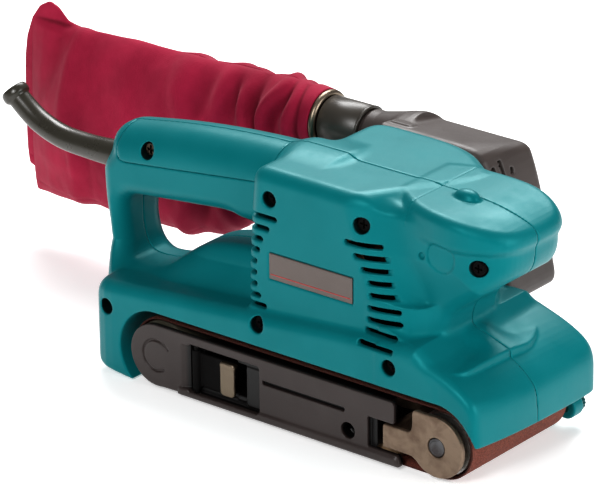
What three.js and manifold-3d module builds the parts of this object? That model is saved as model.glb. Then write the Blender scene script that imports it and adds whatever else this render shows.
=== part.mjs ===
// Handheld belt sander, modelled as an assembly of separate pieces.
// Millimetres. +X runs towards the nose, +Y to the dust-nozzle side, +Z up.
// The origin is on the underside of the sanding belt, midway between the two roller axles.
import * as THREE from "three";
import { mergeVertices } from "three/addons/utils/BufferGeometryUtils.js";
import Module from "manifold-3d";

const wasm = await Module();
wasm.setup();

// Sanding belt and its two rollers: 76 mm wide, 457 mm round.
const BELT_WIDTH = 76;
const BELT_THICK = 1;
const ROLLER_R = 16.7;
const BELT_INNER_R = 17;
const AXLE_Z = BELT_INNER_R + BELT_THICK;
const FRONT_X = 87;
const REAR_X = -87;
const TUNNEL_R = 23;

// Housing.
const RIGHT_FACE = -44;
const UPPER_RIGHT_FACE = -38;
const LEFT_FACE = 50;
const TUNNEL_LEFT = 42;
const HANDLE_HALF = 18;
const TOP_Z = 131.5;
const WALL = 3;
const SPLIT_GAP = 0.15;
const GAP = 0.3;

// Transverse motor and its timing-belt drive.
const MOTOR_X = 13;
const MOTOR_Z = 86;
const MOTOR_CAVITY_R = 35;
const STATOR_R = 31;
const SHAFT_R = 3.5;
const PULLEY_Y = 50.8;
const PULLEY_WIDTH = 6.4;
const MOTOR_PULLEY = { radius: 6, teeth: 12 };
const DRIVEN_PULLEY = { radius: 12.5, teeth: 25 };

// Dust outlet, bag and cord guard.
const OUTLET_Y = 74;
const OUTLET_Z = 111;
const OUTLET_BORE_R = 9;
const BAG_MOUTH_X = -73.5;
const BAG_END_X = -275;
const BAG_WALL = 1.6;

const ALONG_Y = new THREE.Vector3(0, 1, 0);
const ALONG_X = new THREE.Vector3(1, 0, 0);
const ALONG_Z = new THREE.Vector3(0, 0, 1);

const COLOURS = {
  teal: [0x0a8184, 0.45, 0],
  charcoal: [0x4a423f, 0.6, 0],
  black: [0x2b2a2b, 0.55, 0.1],
  maroon: [0x9c2747, 0.95, 0],
  rubber: [0x4c4a42, 0.8, 0],
  steel: [0x9a9184, 0.4, 0.9],
  darkSteel: [0x55524e, 0.5, 0.8],
  aluminium: [0xb4b1aa, 0.4, 0.8],
  copper: [0xb06a3a, 0.4, 0.9],
  abrasive: [0x82413a, 0.95, 0],
  cork: [0x6e5842, 0.95, 0],
  label: [0x77716c, 0.4, 0.2],
  carbon: [0x222222, 0.7, 0.2],
};

const sander = new THREE.Group();

// ---- Solids ---------------------------------------------------------------

function solidOf(geometry) {
  const plain = geometry.index ? geometry.toNonIndexed() : geometry;
  plain.deleteAttribute("normal");
  plain.deleteAttribute("uv");
  const merged = mergeVertices(plain, 1e-4);
  return new wasm.Manifold(
    new wasm.Mesh({
      numProp: 3,
      vertProperties: merged.attributes.position.array,
      triVerts: new Uint32Array(merged.index.array),
    }),
  );
}

function geometryOf(solid) {
  const mesh = solid.getMesh();
  const positions = new Float32Array(mesh.numVert * 3);
  for (let i = 0; i < mesh.numVert; i++) {
    positions.set(mesh.vertProperties.subarray(i * mesh.numProp, i * mesh.numProp + 3), i * 3);
  }
  const geometry = new THREE.BufferGeometry();
  geometry.setAttribute("position", new THREE.BufferAttribute(positions, 3));
  geometry.setIndex(new THREE.BufferAttribute(new Uint32Array(mesh.triVerts), 1));
  geometry.computeVertexNormals();
  return geometry;
}

function join(...solids) {
  return solids.reduce((all, next) => all.add(next));
}

function cut(solid, ...tools) {
  return tools.reduce((rest, tool) => rest.subtract(tool), solid);
}

function addPiece(name, solid, look) {
  const [color, roughness, metalness] = COLOURS[look];
  const material = new THREE.MeshStandardMaterial({ color, roughness, metalness });
  const mesh = new THREE.Mesh(geometryOf(solid), material);
  mesh.name = name;
  sander.add(mesh);
}

// A closed outline from corners [a, b, radius]: a corner with a radius is rounded off.
function outline(corners, PathClass = THREE.Shape) {
  const path = new PathClass();
  const count = corners.length;
  const towards = (from, to, distance) => {
    const step = new THREE.Vector2(to[0] - from[0], to[1] - from[1]);
    step.setLength(Math.min(distance, step.length() * 0.49));
    return [from[0] + step.x, from[1] + step.y];
  };
  corners.forEach((corner, i) => {
    const radius = corner[2] || 0;
    const before = corners[(i + count - 1) % count];
    const after = corners[(i + 1) % count];
    const start = radius ? towards(corner, before, radius) : corner;
    if (i === 0) path.moveTo(start[0], start[1]);
    else path.lineTo(start[0], start[1]);
    if (radius) {
      const end = towards(corner, after, radius);
      path.quadraticCurveTo(corner[0], corner[1], end[0], end[1]);
    }
  });
  path.closePath();
  return path;
}

// The long round-ended outline around two circles, each [a, b, radius].
function beltOutline(first, second) {
  const angle = Math.atan2(second[1] - first[1], second[0] - first[0]);
  const spacing = Math.hypot(second[0] - first[0], second[1] - first[1]);
  const lean = Math.acos((first[2] - second[2]) / spacing);
  const shape = new THREE.Shape();
  shape.absarc(second[0], second[1], second[2], angle - lean, angle + lean, false);
  shape.absarc(first[0], first[1], first[2], angle + lean, angle - lean + 2 * Math.PI, false);
  shape.closePath();
  return shape;
}

// Extrudes a shape; round rolls its edges over, inset shrinks it, both in millimetres.
function extruded(shape, length, { round = 0, inset = 0, curve = 4, steps = 2 } = {}) {
  const bevelled = round > 0;
  return new THREE.ExtrudeGeometry(shape, {
    depth: length - 2 * round,
    bevelEnabled: bevelled,
    bevelThickness: round,
    bevelSize: round,
    bevelOffset: -round - inset,
    bevelSegments: steps,
    curveSegments: curve,
  }).translate(0, 0, round);
}

// A side outline (X, Z) carried from one Y to another.
function sideSlab(shape, yFrom, yTo, options) {
  const geometry = extruded(shape, yTo - yFrom, options);
  return geometry.rotateX(Math.PI / 2).translate(0, yTo, 0);
}

// A plan outline (X, Y) carried from one Z to another.
function planSlab(shape, zFrom, zTo, options) {
  return extruded(shape, zTo - zFrom, options).translate(0, 0, zFrom);
}

// Widens or narrows a piece in Y by a factor that depends on height and side.
function taperY(geometry, factorAt) {
  const position = geometry.attributes.position;
  for (let i = 0; i < position.count; i++) {
    const y = position.getY(i);
    position.setY(i, y * factorAt(position.getZ(i), y));
  }
  return geometry;
}

function box(xFrom, xTo, yFrom, yTo, zFrom, zTo) {
  const geometry = new THREE.BoxGeometry(xTo - xFrom, yTo - yFrom, zTo - zFrom);
  geometry.translate((xFrom + xTo) / 2, (yFrom + yTo) / 2, (zFrom + zTo) / 2);
  return solidOf(geometry);
}

// A body turned from [radius, distance] pairs about an axis that starts at a point.
function turned(profile, start, direction, sides = 20) {
  const points = profile.map(([radius, distance]) => new THREE.Vector2(radius, distance));
  const geometry = new THREE.LatheGeometry(points, sides);
  const turn = new THREE.Quaternion().setFromUnitVectors(ALONG_Y, direction);
  geometry.applyQuaternion(turn).translate(start[0], start[1], start[2]);
  return solidOf(geometry);
}

function rodY(x, z, yFrom, yTo, radius, sides = 20) {
  const length = yTo - yFrom;
  const profile = [[0, 0], [radius, 0], [radius, length], [0, length]];
  return turned(profile, [x, yFrom, z], ALONG_Y, sides);
}

function rodX(y, z, xFrom, xTo, radius, sides = 16) {
  const length = xTo - xFrom;
  const profile = [[0, 0], [radius, 0], [radius, length], [0, length]];
  return turned(profile, [xFrom, y, z], ALONG_X, sides);
}

function rodZ(x, y, zFrom, zTo, radius, sides = 12) {
  const length = zTo - zFrom;
  const profile = [[0, 0], [radius, 0], [radius, length], [0, length]];
  return turned(profile, [x, y, zFrom], ALONG_Z, sides);
}

function ringY(x, z, yFrom, yTo, inner, outer, sides = 20) {
  return cut(rodY(x, z, yFrom, yTo, outer, sides), rodY(x, z, yFrom - 1, yTo + 1, inner, sides));
}

// ---- Housing --------------------------------------------------------------

// The D-shaped rear handle with the web below it. The opening takes the hand.
const HANDLE_OPENING = [
  [-131, 85, 6], [-62, 93, 2], [-54, 90, 3], [-38, 92, 4], [-38, 73, 4], [-56, 73, 8],
  [-80, 69, 8], [-92, 62.5, 6], [-104, 52.6, 8], [-126, 51, 12],
];
const HANDLE_OUTLINE = [
  [-142, 56, 8], [-128, 26], [0, 26], [0, TOP_Z], [-41, 130], [-141.5, 116, 14], [-145, 100, 6],
];

// The web below the handle flares out towards the skirt, on the right side only.
function webWidth(z, y) {
  const rise = THREE.MathUtils.smoothstep(z, 46, 58);
  return y < 0 ? THREE.MathUtils.lerp(1.6, 1, rise) : 1;
}

function handleSolid(inset) {
  const shape = outline(HANDLE_OUTLINE);
  shape.holes.push(outline(HANDLE_OPENING, THREE.Path));
  const half = HANDLE_HALF - inset;
  const slab = sideSlab(shape, -half, half, { round: 5 - inset, inset, curve: 4 });
  return solidOf(taperY(slab, webWidth));
}

// Lower skirt over the sanding belt.
function skirtSolid(inset) {
  const side = outline([
    [-132 + inset, 5 + inset, 10], [-132 + inset, 47 - inset, 9], [66, 65 - inset],
    [74, 65 - inset], [90, 51 - inset], [90, 30], [-60, 30], [-100, 0.4 + inset],
  ]);
  const plan = outline([
    [-132 + inset, RIGHT_FACE + inset, 16], [90, RIGHT_FACE + inset],
    [90, LEFT_FACE - inset], [-132 + inset, LEFT_FACE - inset, 16],
  ]);
  const leftSlope = outline([[-140, 30 - inset], [-103, 49 - inset], [-103, 60], [-140, 60]]);
  const whole = solidOf(sideSlab(side, -60, 70)).intersect(solidOf(planSlab(plan, 0, 80)));
  return whole.subtract(solidOf(sideSlab(leftSlope, 16 - inset, 70)));
}

// Sloping nose over the front roller, with the raised shelf round the neck.
function noseSolid(inset) {
  const side = outline([
    [50, 24 + inset], [116.2 - inset, 24 + inset, 2], [116 - inset, 35, 8],
    [112.5 - inset, 44 - inset, 6], [99.5 - inset, 53.5 - inset, 6],
    [74, 62 - inset, 4], [50, 64 - inset],
  ]);
  const plan = outline([
    [50, RIGHT_FACE + inset], [110 - inset, RIGHT_FACE + inset, 4], [117 - inset, 16, 60],
    [115.5 - inset, LEFT_FACE - inset, 8], [50, LEFT_FACE - inset],
  ]);
  const shelfSide = outline([
    [50, 40], [98 - inset, 40], [98 - inset, 57 - inset, 2], [74, 65 - inset], [50, 66 - inset],
  ]);
  const shelfPlan = outline([
    [50, -38 + inset], [96 - inset, -38 + inset, 12], [98 - inset, 18, 6], [85 - inset, 40 - inset, 6],
    [50, 41 - inset],
  ]);
  const slope = solidOf(sideSlab(side, -60, 70)).intersect(solidOf(planSlab(plan, 0, 80)));
  const shelf = solidOf(sideSlab(shelfSide, -60, 70)).intersect(solidOf(planSlab(shelfPlan, 0, 80)));
  return slope.add(shelf);
}

// Motor body, wider on the drive side.
function motorBodySolid(inset) {
  const side = outline([
    [-34.5 + inset, 44], [-34.5 + inset, 76], [-30 + inset, TOP_Z - inset, 10],
    [42 - inset, TOP_Z - inset],
    [62 - inset, 56], [62 - inset, 44],
  ]);
  const body = sideSlab(side, UPPER_RIGHT_FACE + inset, LEFT_FACE - inset, { round: 7 - inset });
  return solidOf(body);
}

// Neck and front grip: an upper cap over a lower part that narrows downwards.
const GRIP_SIDE = [
  [30, TOP_Z], [90, 130.5, 12], [115.5, 121, 8], [114.5, 102, 5], [100, 92, 5], [76, 75, 6],
  [73, 55], [30, 55],
];

function gripPlan(half, front, inset) {
  return outline([
    [30, -half + inset], [94, -half + inset, 10], [front - 1 - inset, -20, 10],
    [front - 1 - inset, 22, 8], [98, half - inset, 8], [30, half - inset],
  ]);
}

function gripSolid(inset) {
  const side = solidOf(sideSlab(outline(GRIP_SIDE), -40, 40, { round: 0.5, inset }));
  const cap = solidOf(planSlab(gripPlan(32, 116, inset), 116 + inset, TOP_Z - inset, { round: 4, curve: 5 }));
  const lower = planSlab(gripPlan(29, 116, inset), 50, 117 + inset);
  const narrowed = taperY(lower, (z) => (z < 80 ? 0.86 : 1));
  return side.intersect(join(cap, solidOf(narrowed)));
}

// Wall on the drive side of the sanding belt, with the boss of the tracking screw.
function driveSideWall() {
  const side = outline([[-108, 6, 6], [90, 6, 4], [100, 22], [100, 44], [-108, 44]]);
  const boss = rodY(KNOB.x, KNOB.z, TUNNEL_LEFT, LEFT_FACE, 6.5, 20);
  const lug = box(88, KNOB.x, TUNNEL_LEFT, LEFT_FACE, 6, KNOB.z + 4);
  return join(solidOf(sideSlab(side, TUNNEL_LEFT, LEFT_FACE)), boss, lug);
}

function thumbBump() {
  const bump = new THREE.SphereGeometry(1, 12, 6);
  return solidOf(bump.scale(8, 4.5, 4).translate(75, -4.5, 130));
}

function tunnelSolid() {
  const slot = beltOutline([REAR_X, AXLE_Z, TUNNEL_R], [FRONT_X, AXLE_Z, TUNNEL_R]);
  const below = box(REAR_X, 140, -70, TUNNEL_LEFT, -10, AXLE_Z);
  return join(solidOf(sideSlab(slot, -70, TUNNEL_LEFT, { curve: 12 })), below);
}

const RIGHT_SCREWS = [
  { name: "screw_skirt_rear", x: -119, z: 36, face: -40, boss: 5.6 },
  { name: "screw_skirt_mid", x: -22, z: 52, face: RIGHT_FACE, boss: 5.6 },
  { name: "screw_skirt_front", x: 59, z: 52, face: RIGHT_FACE, boss: 5.6 },
  { name: "screw_body_rear", x: -18, z: 117, face: UPPER_RIGHT_FACE, boss: 5.6 },
  { name: "screw_body_front", x: 37, z: 117, face: UPPER_RIGHT_FACE, boss: 5.6 },
  { name: "screw_grip", x: 98, z: 107, face: -29, boss: 5.6 },
];
const COVER_SCREW = { name: "screw_handle_cover", x: -113, z: 112, face: -HANDLE_HALF };
const KNOB = { x: 100.5, z: 11.5, radius: 5, end: LEFT_FACE + 3.4 };
const SCREW_HOLE_R = 4.1;
const SCREW_HEAD_R = 3.6;
const SCREW_SHANK_R = 1.9;
const SCREW_END_Y = 12;

function screwHoles(screw, endY) {
  const seat = screw.face + 7;
  return join(
    rodY(screw.x, screw.z, screw.face - 12, seat, SCREW_HOLE_R, 14),
    rodY(screw.x, screw.z, seat - 1, endY + 1, SCREW_SHANK_R + 0.2, 8),
  );
}

function screwSolid(screw, endY) {
  const seat = screw.face + 7 - GAP;
  const head = rodY(screw.x, screw.z, seat - 2.6, seat, SCREW_HEAD_R, 14);
  const shank = rodY(screw.x, screw.z, seat - 1, endY, SCREW_SHANK_R, 8);
  const slotA = box(screw.x - 2.2, screw.x + 2.2, seat - 3, seat - 1.2, screw.z - 0.5, screw.z + 0.5);
  const slotB = box(screw.x - 0.5, screw.x + 0.5, seat - 3, seat - 1.2, screw.z - 2.2, screw.z + 2.2);
  return cut(join(head, shank), slotA, slotB);
}

// Cooling slots: a rear and a front column on the right side, nine high.
function ventSlots() {
  const slots = [];
  for (let i = 0; i < 9; i++) {
    const z = 105.6 - i * 5.4;
    const longSlot = i === 0 || i === 8;
    const rearEnd = longSlot ? -13 : -19;
    slots.push(box(-34, rearEnd, UPPER_RIGHT_FACE - 5, -31.5, z - 1.3, z + 1.3));
    const frontFrom = 28 + i * 1.5 + (longSlot ? -2 : 0);
    slots.push(box(frontFrom, frontFrom + 19, UPPER_RIGHT_FACE - 5, -31.5, z - 1.3, z + 1.3));
  }
  return join(...slots);
}

const LABEL = { xFrom: -18, xTo: 33, zFrom: 76, zTo: 89.5 };

function labelRecess() {
  return box(LABEL.xFrom - 0.4, LABEL.xTo + 0.4, UPPER_RIGHT_FACE - 5, UPPER_RIGHT_FACE + 1,
    LABEL.zFrom - 0.4, LABEL.zTo + 0.4);
}

// The removable right half of the handle's top, over the switch wiring.
function coverRegion(gap) {
  const side = outline([
    [-135 + gap, 102 + gap, 8], [-37, 114.5 + gap], [-27 - gap, 116 + gap], [-30 - gap, 150],
    [-128 + gap, 150],
  ]);
  return solidOf(sideSlab(side, -60, -SPLIT_GAP));
}

function bearingBosses() {
  return join(
    rodY(MOTOR_X, MOTOR_Z, UPPER_RIGHT_FACE + 1, -28, 13),
    rodY(MOTOR_X, MOTOR_Z, 38, LEFT_FACE - 1, 13),
  );
}

function housingShell() {
  const outer = join(
    handleSolid(0), skirtSolid(0), noseSolid(0), motorBodySolid(0), gripSolid(0), thumbBump(),
    driveSideWall(),
  );
  const hollow = join(handleSolid(WALL), motorBodySolid(WALL), gripSolid(WALL));
  const skirtHollow = skirtSolid(WALL).intersect(box(-128, 66, -60, 60, 44, 80));
  const noseHollow = noseSolid(WALL).intersect(box(64, 130, -60, 60, 44, 80));
  const motorBore = rodY(MOTOR_X, MOTOR_Z, UPPER_RIGHT_FACE + WALL, LEFT_FACE - WALL, MOTOR_CAVITY_R);
  const bosses = RIGHT_SCREWS.map((s) => rodY(s.x, s.z, s.face + 1, SCREW_END_Y + 8, s.boss, 12));
  const coverBoss = rodY(COVER_SCREW.x, COVER_SCREW.z, -16, 10, 4.5, 12);
  const shell = cut(outer, hollow, skirtHollow, noseHollow, motorBore);
  const braced = join(shell, bearingBosses(), join(...bosses, coverBoss).intersect(outer));
  const driveSeat = join(
    rodY(REAR_X, AXLE_Z, TUNNEL_LEFT - 1, LEFT_FACE + 1, 5.6),
    rodY(REAR_X, AXLE_Z, TUNNEL_LEFT + 1, LEFT_FACE + 1, 10.1),
    rodY(MOTOR_X, MOTOR_Z, -34.9, -20, 9.6),
    rodY(MOTOR_X, MOTOR_Z, 30, 46.1, 9.6),
    rodY(MOTOR_X, MOTOR_Z, 40, LEFT_FACE + 1, 5),
    rodY(KNOB.x, KNOB.z, TUNNEL_LEFT - 1, LEFT_FACE + 1, 2.8, 16),
    ...SIDE_SCREWS.map((s) => rodY(s.x, s.z, 40, LEFT_FACE + 1, SCREW_SHANK_R + 0.2, 8)),
  );
  const dustPort = box(40, 60, 20, LEFT_FACE + 2, 38, 61);
  return cut(
    braced, tunnelSolid(), driveSeat, dustPort, ventSlots(), labelRecess(), handleFittings(),
    ...RIGHT_SCREWS.map((s) => screwHoles(s, SCREW_END_Y)), screwHoles(COVER_SCREW, 5),
  );
}

// Slots in the handle for the trigger, the lock button and the cord guard.
const GUARD_Z = 97;
const GUARD_R = 7;
const LOCK = { x: -62, z: 106 };
const TRIGGER_PIVOT = { x: -44, z: 94.5, holeR: 1.8, pinR: 1.5 };

function triggerRod(radius, reach) {
  return rodY(TRIGGER_PIVOT.x, TRIGGER_PIVOT.z, -reach, reach, radius, 10);
}

function handleFittings() {
  return join(
    box(-70, -38, -7, 7, 84, 100),
    triggerRod(TRIGGER_PIVOT.holeR, 14.3),
    rodY(LOCK.x, LOCK.z, 8, 30, 4.4, 20),
    rodX(0, GUARD_Z, -160, -136, GUARD_R + GAP, 20),
    rodX(0, GUARD_Z, -141.4, -137, GUARD_R + 2.2, 20),
  );
}

function addHousing() {
  const shell = housingShell();
  const right = shell.intersect(box(-200, 200, -100, -SPLIT_GAP, -20, 200));
  const left = shell.intersect(box(-200, 200, SPLIT_GAP, 100, -20, 200));
  addPiece("housing_right", largest(cut(right, coverRegion(0))), "teal");
  addPiece("housing_left", largest(left), "teal");
  addPiece("handle_cover", largest(right.intersect(coverRegion(GAP))), "teal");
  RIGHT_SCREWS.forEach((s) => addPiece(s.name, screwSolid(s, SCREW_END_Y), "darkSteel"));
  addPiece(COVER_SCREW.name, screwSolid(COVER_SCREW, 5), "darkSteel");
}

function largest(solid) {
  const bodies = solid.decompose();
  return bodies.reduce((best, next) => (next.volume() > best.volume() ? next : best));
}

function addLabel() {
  const plate = box(LABEL.xFrom, LABEL.xTo, UPPER_RIGHT_FACE - 0.2, UPPER_RIGHT_FACE + 0.7,
    LABEL.zFrom, LABEL.zTo);
  addPiece("name_plate", plate, "label");
}

// ---- Sanding belt, frame and rollers ---------------------------------------

const FRAME_PLATE = { outer: -43.5, inner: -40.2 };
const FRAME_TOP = 34.4;
const FRAME_BOTTOM = 1.4;
const WINDOW = { xFrom: -66, xTo: -21, zFrom: 4.5, zTo: 30 };
const LEVER_PIN = { x: -62, y: -41.6 };
const BEAM = { xFrom: -62, xTo: 50, zFrom: 7, zTo: 30 };

function framePlate() {
  const shape = outline([
    [REAR_X - 16.5, AXLE_Z + 16.4, 16.5], [62, FRAME_TOP, 2], [62, 23], [46, 23], [46, 7],
    [64, 7], [66, FRAME_BOTTOM, 2], [-72, FRAME_BOTTOM], [-74, 3.4], [REAR_X - 16.5, 1.6, 16.5],
  ]);
  const { xFrom, xTo, zFrom, zTo } = WINDOW;
  const window = outline([[xFrom, zFrom, 2], [xTo, zFrom, 1], [xTo, zTo, 1], [xFrom, zTo, 2]]);
  const plate = solidOf(sideSlab(shape, FRAME_PLATE.outer, FRAME_PLATE.inner, { curve: 10 }));
  return cut(
    plate,
    solidOf(sideSlab(window, -50, -38)),
    rodY(34, 12, -50, -38, 4.2, 20),
    box(-19, 32, FRAME_PLATE.outer - 1, FRAME_PLATE.outer + 1.2, 21.6, 23.2),
  );
}

function addFrame() {
  const { xFrom, xTo, zFrom, zTo } = BEAM;
  const beam = box(xFrom, xTo, FRAME_PLATE.inner - 0.5, TUNNEL_LEFT - GAP, zFrom, zTo);
  const cavity = box(xFrom + 3, xTo + 5, -50, 38, zFrom + 3, zTo - 3)
    .intersect(join(box(-80, 80, -38, 60, -10, 60), box(-59, WINDOW.xTo - 9, -60, 60, -10, 60)));
  const stop = box(WINDOW.xTo - 9, WINDOW.xTo + 1, FRAME_PLATE.outer + 1, -37, 5, 28);
  const frame = cut(
    join(framePlate(), beam, stop), cavity,
    rodZ(LEVER_PIN.x, LEVER_PIN.y, 2.4, 32.4, 1.5),
    box(-66, -36.8, -50, -38.9, 5.5, 28.5),
    rodY(REAR_X, AXLE_Z, -41.6, -30, 5.4),
  );
  addPiece("belt_frame", largest(frame), "black");
  addPiece("platen_pad", box(-60, 58, -36, 37, 2.9, zFrom - GAP), "cork");
  addPiece("platen", box(-61, 59, -37.5, 37.5, 1.3, 2.6), "steel");
  const outer = beltOutline([REAR_X, AXLE_Z, AXLE_Z], [FRONT_X, AXLE_Z, AXLE_Z]);
  const inner = beltOutline([REAR_X, AXLE_Z, BELT_INNER_R], [FRONT_X, AXLE_Z, BELT_INNER_R]);
  const half = BELT_WIDTH / 2;
  const belt = cut(
    solidOf(sideSlab(outer, -half, half, { curve: 16 })),
    solidOf(sideSlab(inner, -half - 1, half + 1, { curve: 16 })),
  );
  addPiece("abrasive_belt", belt, "abrasive");
}

function addRollers() {
  const crowned = (x, bore) => {
    const profile = [
      [bore, 0], [ROLLER_R - 0.9, 0], [ROLLER_R - 0.4, 1], [ROLLER_R, 30], [ROLLER_R, 44],
      [ROLLER_R - 0.4, 73], [ROLLER_R - 0.9, 74], [bore, 74], [bore, 0],
    ];
    return turned(profile, [x, -37, AXLE_Z], ALONG_Y, 32);
  };
  addPiece("front_roller", crowned(FRONT_X, 5), "aluminium");
  addPiece("front_axle", rodY(FRONT_X, AXLE_Z, -43.4, 41.2, 4.7), "steel");
  addPiece("drive_roller", crowned(REAR_X, 5.3), "rubber");
  addPiece("drive_shaft", rodY(REAR_X, AXLE_Z, -41.2, 57.6, 5), "steel");
  addPiece("drive_bearing", ringY(REAR_X, AXLE_Z, 43.3, 49.7, 5.3, 9.8), "steel");
}

function addFrontBracket() {
  const arm = (yFrom, yTo) => {
    const plate = rodY(FRONT_X, AXLE_Z, yFrom, yTo, 15.6, 40);
    const shoulder = outline([[72.5, 19], [72.5, 34, 2], [88, 33.6], [88, 19]]);
    const tongue = outline([[55, 9.5], [55, 21.5, 1], [76, 21.5], [76, 9.5]]);
    const whole = join(
      plate, solidOf(sideSlab(shoulder, yFrom, yTo)), solidOf(sideSlab(tongue, yFrom, yTo)),
    );
    return cut(whole, rodY(FRONT_X, AXLE_Z, yFrom - 1, yTo + 1, 5));
  };
  const crossWeb = box(57, 61, -42, 40, 9.8, 21.4);
  const stem = box(18, 59, -8, 8, 12.5, 23.5);
  const bracket = join(arm(-43.2, -40.4), arm(38.8, 41.4), crossWeb, stem);
  addPiece("front_bracket", bracket, "steel");
}

function addTensioner() {
  const { x, y } = LEVER_PIN;
  const plate = box(x, -38, -41.4, -39.4, 8, 26);
  const tab = box(-46, -37.4, -43.4, -39.4, 6.8, 27.2);
  const barrel = rodZ(x, y, 6.5, 27.5, 2.2);
  const lever = cut(join(plate, tab, barrel), rodZ(x, y, 0, 40, 1.5));
  addPiece("release_lever", lever, "steel");
  addPiece("lever_pin", rodZ(x, y, 2.7, 32.1, 1.2), "darkSteel");
  const turns = 6;
  const coil = [];
  for (let i = 0; i <= turns * 8; i++) {
    const angle = (i * Math.PI) / 4;
    coil.push(new THREE.Vector3(-30 + (i / 8) * 6.4, 5 * Math.cos(angle), 18 + 5 * Math.sin(angle)));
  }
  const wire = new THREE.Shape().absarc(0, 0, 0.9, 0, 2 * Math.PI);
  const spring = new THREE.ExtrudeGeometry(wire, {
    steps: turns * 8,
    curveSegments: 2,
    bevelEnabled: false,
    extrudePath: new THREE.CatmullRomCurve3(coil),
  });
  addPiece("tension_spring", solidOf(spring), "darkSteel");
  const grips = new THREE.Shape();
  for (let i = 0; i < 32; i++) {
    const radius = i % 2 ? KNOB.radius - 0.5 : KNOB.radius;
    const angle = (i * Math.PI) / 16;
    const point = [radius * Math.cos(angle), radius * Math.sin(angle)];
    if (i === 0) grips.moveTo(...point);
    else grips.lineTo(...point);
  }
  grips.closePath();
  const head = solidOf(sideSlab(grips, LEFT_FACE + GAP, KNOB.end).translate(KNOB.x, 0, KNOB.z));
  const screw = rodY(KNOB.x, KNOB.z, TUNNEL_LEFT - 0.2, LEFT_FACE + 1, 2.5, 16);
  addPiece("tracking_knob", join(head, screw), "charcoal");
}

// ---- Motor and drive --------------------------------------------------------

function addMotor() {
  const x = MOTOR_X;
  const z = MOTOR_Z;
  addPiece("stator", ringY(x, z, -12, 18, 20.5, STATOR_R, 32), "darkSteel");
  const shaft = rodY(x, z, -34.3, PULLEY_Y + PULLEY_WIDTH + 0.4, SHAFT_R, 16);
  const core = rodY(x, z, -11, 17, 19.7, 32);
  addPiece("armature", join(shaft, core), "steel");
  addPiece("commutator", ringY(x, z, -27, -16, SHAFT_R + GAP, 11), "copper");
  addPiece("bearing_outer", ringY(x, z, -34.6, -28.6, SHAFT_R + GAP, 9.3), "steel");
  addPiece("bearing_inner", ringY(x, z, 40, 45.8, SHAFT_R + GAP, 9.3), "steel");
  const hub = rodY(x, z, 21, 32, 8);
  const disc = rodY(x, z, 21, 23, 30, 32);
  const blades = [];
  const bladeCount = 12;
  for (let i = 0; i < bladeCount; i++) {
    const blade = new THREE.BoxGeometry(21, 9.5, 1.4).translate(18.3, 27.2, 0);
    blade.rotateY((i * 2 * Math.PI) / bladeCount).translate(x, 0, z);
    blades.push(solidOf(blade));
  }
  const fan = cut(join(hub, disc, ...blades), rodY(x, z, 10, 40, SHAFT_R + GAP, 16));
  addPiece("fan", fan, "charcoal");
  [["upper", 1], ["lower", -1]].forEach(([side, sign]) => {
    const place = (from, to, half) => {
      const ends = [z + sign * from, z + sign * to].sort((a, b) => a - b);
      return box(x - half, x + half, -21.5 - half, -21.5 + half, ends[0], ends[1]);
    };
    addPiece(`brush_holder_${side}`, cut(place(13, 29, 5), place(12, 30, 3.4)), "copper");
    addPiece(`carbon_brush_${side}`, place(11.4, 25, 3.1), "carbon");
  });
}

function pulley({ radius, teeth }, x, z, boreRadius) {
  const rim = new THREE.Shape();
  for (let i = 0; i < teeth * 4; i++) {
    const angle = ((i - 0.5) * 2 * Math.PI) / (teeth * 4);
    const reach = i % 4 < 2 ? radius : radius - 0.9;
    const point = [reach * Math.cos(angle), reach * Math.sin(angle)];
    if (i === 0) rim.moveTo(...point);
    else rim.lineTo(...point);
  }
  rim.closePath();
  const wheel = sideSlab(rim, PULLEY_Y, PULLEY_Y + PULLEY_WIDTH).translate(x, 0, z);
  return cut(solidOf(wheel), rodY(x, z, PULLEY_Y - 1, PULLEY_Y + 10, boreRadius, 16));
}

// Points on the line between the two pulleys, where the drive cover is screwed down.
const SIDE_SCREWS = [0.36, 0.7].map((along, i) => ({
  name: `screw_drive_cover_${i + 1}`,
  x: THREE.MathUtils.lerp(REAR_X, MOTOR_X, along),
  z: THREE.MathUtils.lerp(AXLE_Z, MOTOR_Z, along),
  head: 60,
}));
SIDE_SCREWS.push({ name: "screw_nozzle_rear", x: -5, z: 45.5, head: 57 });
SIDE_SCREWS.push({ name: "screw_nozzle_front", x: 30, z: 45.5, head: 57 });

function coverSolid(margin, yFrom, yTo, round = 0) {
  const shape = beltOutline(
    [REAR_X, AXLE_Z, 15.1 + margin], [MOTOR_X, MOTOR_Z, 16 + margin],
  );
  return solidOf(sideSlab(shape, yFrom, yTo, { round, curve: 8 }));
}

function addDrive() {
  addPiece("motor_pulley", pulley(MOTOR_PULLEY, MOTOR_X, MOTOR_Z, SHAFT_R + GAP), "darkSteel");
  addPiece("driven_pulley", pulley(DRIVEN_PULLEY, REAR_X, AXLE_Z, 5.3), "darkSteel");
  const run = (extra, yFrom, yTo) => solidOf(sideSlab(
    beltOutline(
      [REAR_X, AXLE_Z, DRIVEN_PULLEY.radius + extra],
      [MOTOR_X, MOTOR_Z, MOTOR_PULLEY.radius + extra],
    ), yFrom, yTo, { curve: 10 },
  ));
  addPiece("timing_belt", cut(run(1.8, 51.2, 56.8), run(GAP, 50, 60)), "rubber");
  const screws = SIDE_SCREWS.filter((s) => s.head === 60);
  const bosses = screws.map((s) => rodY(s.x, s.z, LEFT_FACE + GAP, 59, 4.2, 12));
  const shell = cut(coverSolid(1.5, LEFT_FACE + GAP, 60.5, 1.4), coverSolid(0, 40, 58.4));
  const holes = screws.map((s) => join(
    rodY(s.x, s.z, 40, 70, SCREW_SHANK_R + 0.2, 8), rodY(s.x, s.z, 57, 70, SCREW_HOLE_R, 14),
  ));
  addPiece("drive_cover", cut(join(shell, ...bosses), ...holes), "teal");
}

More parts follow.
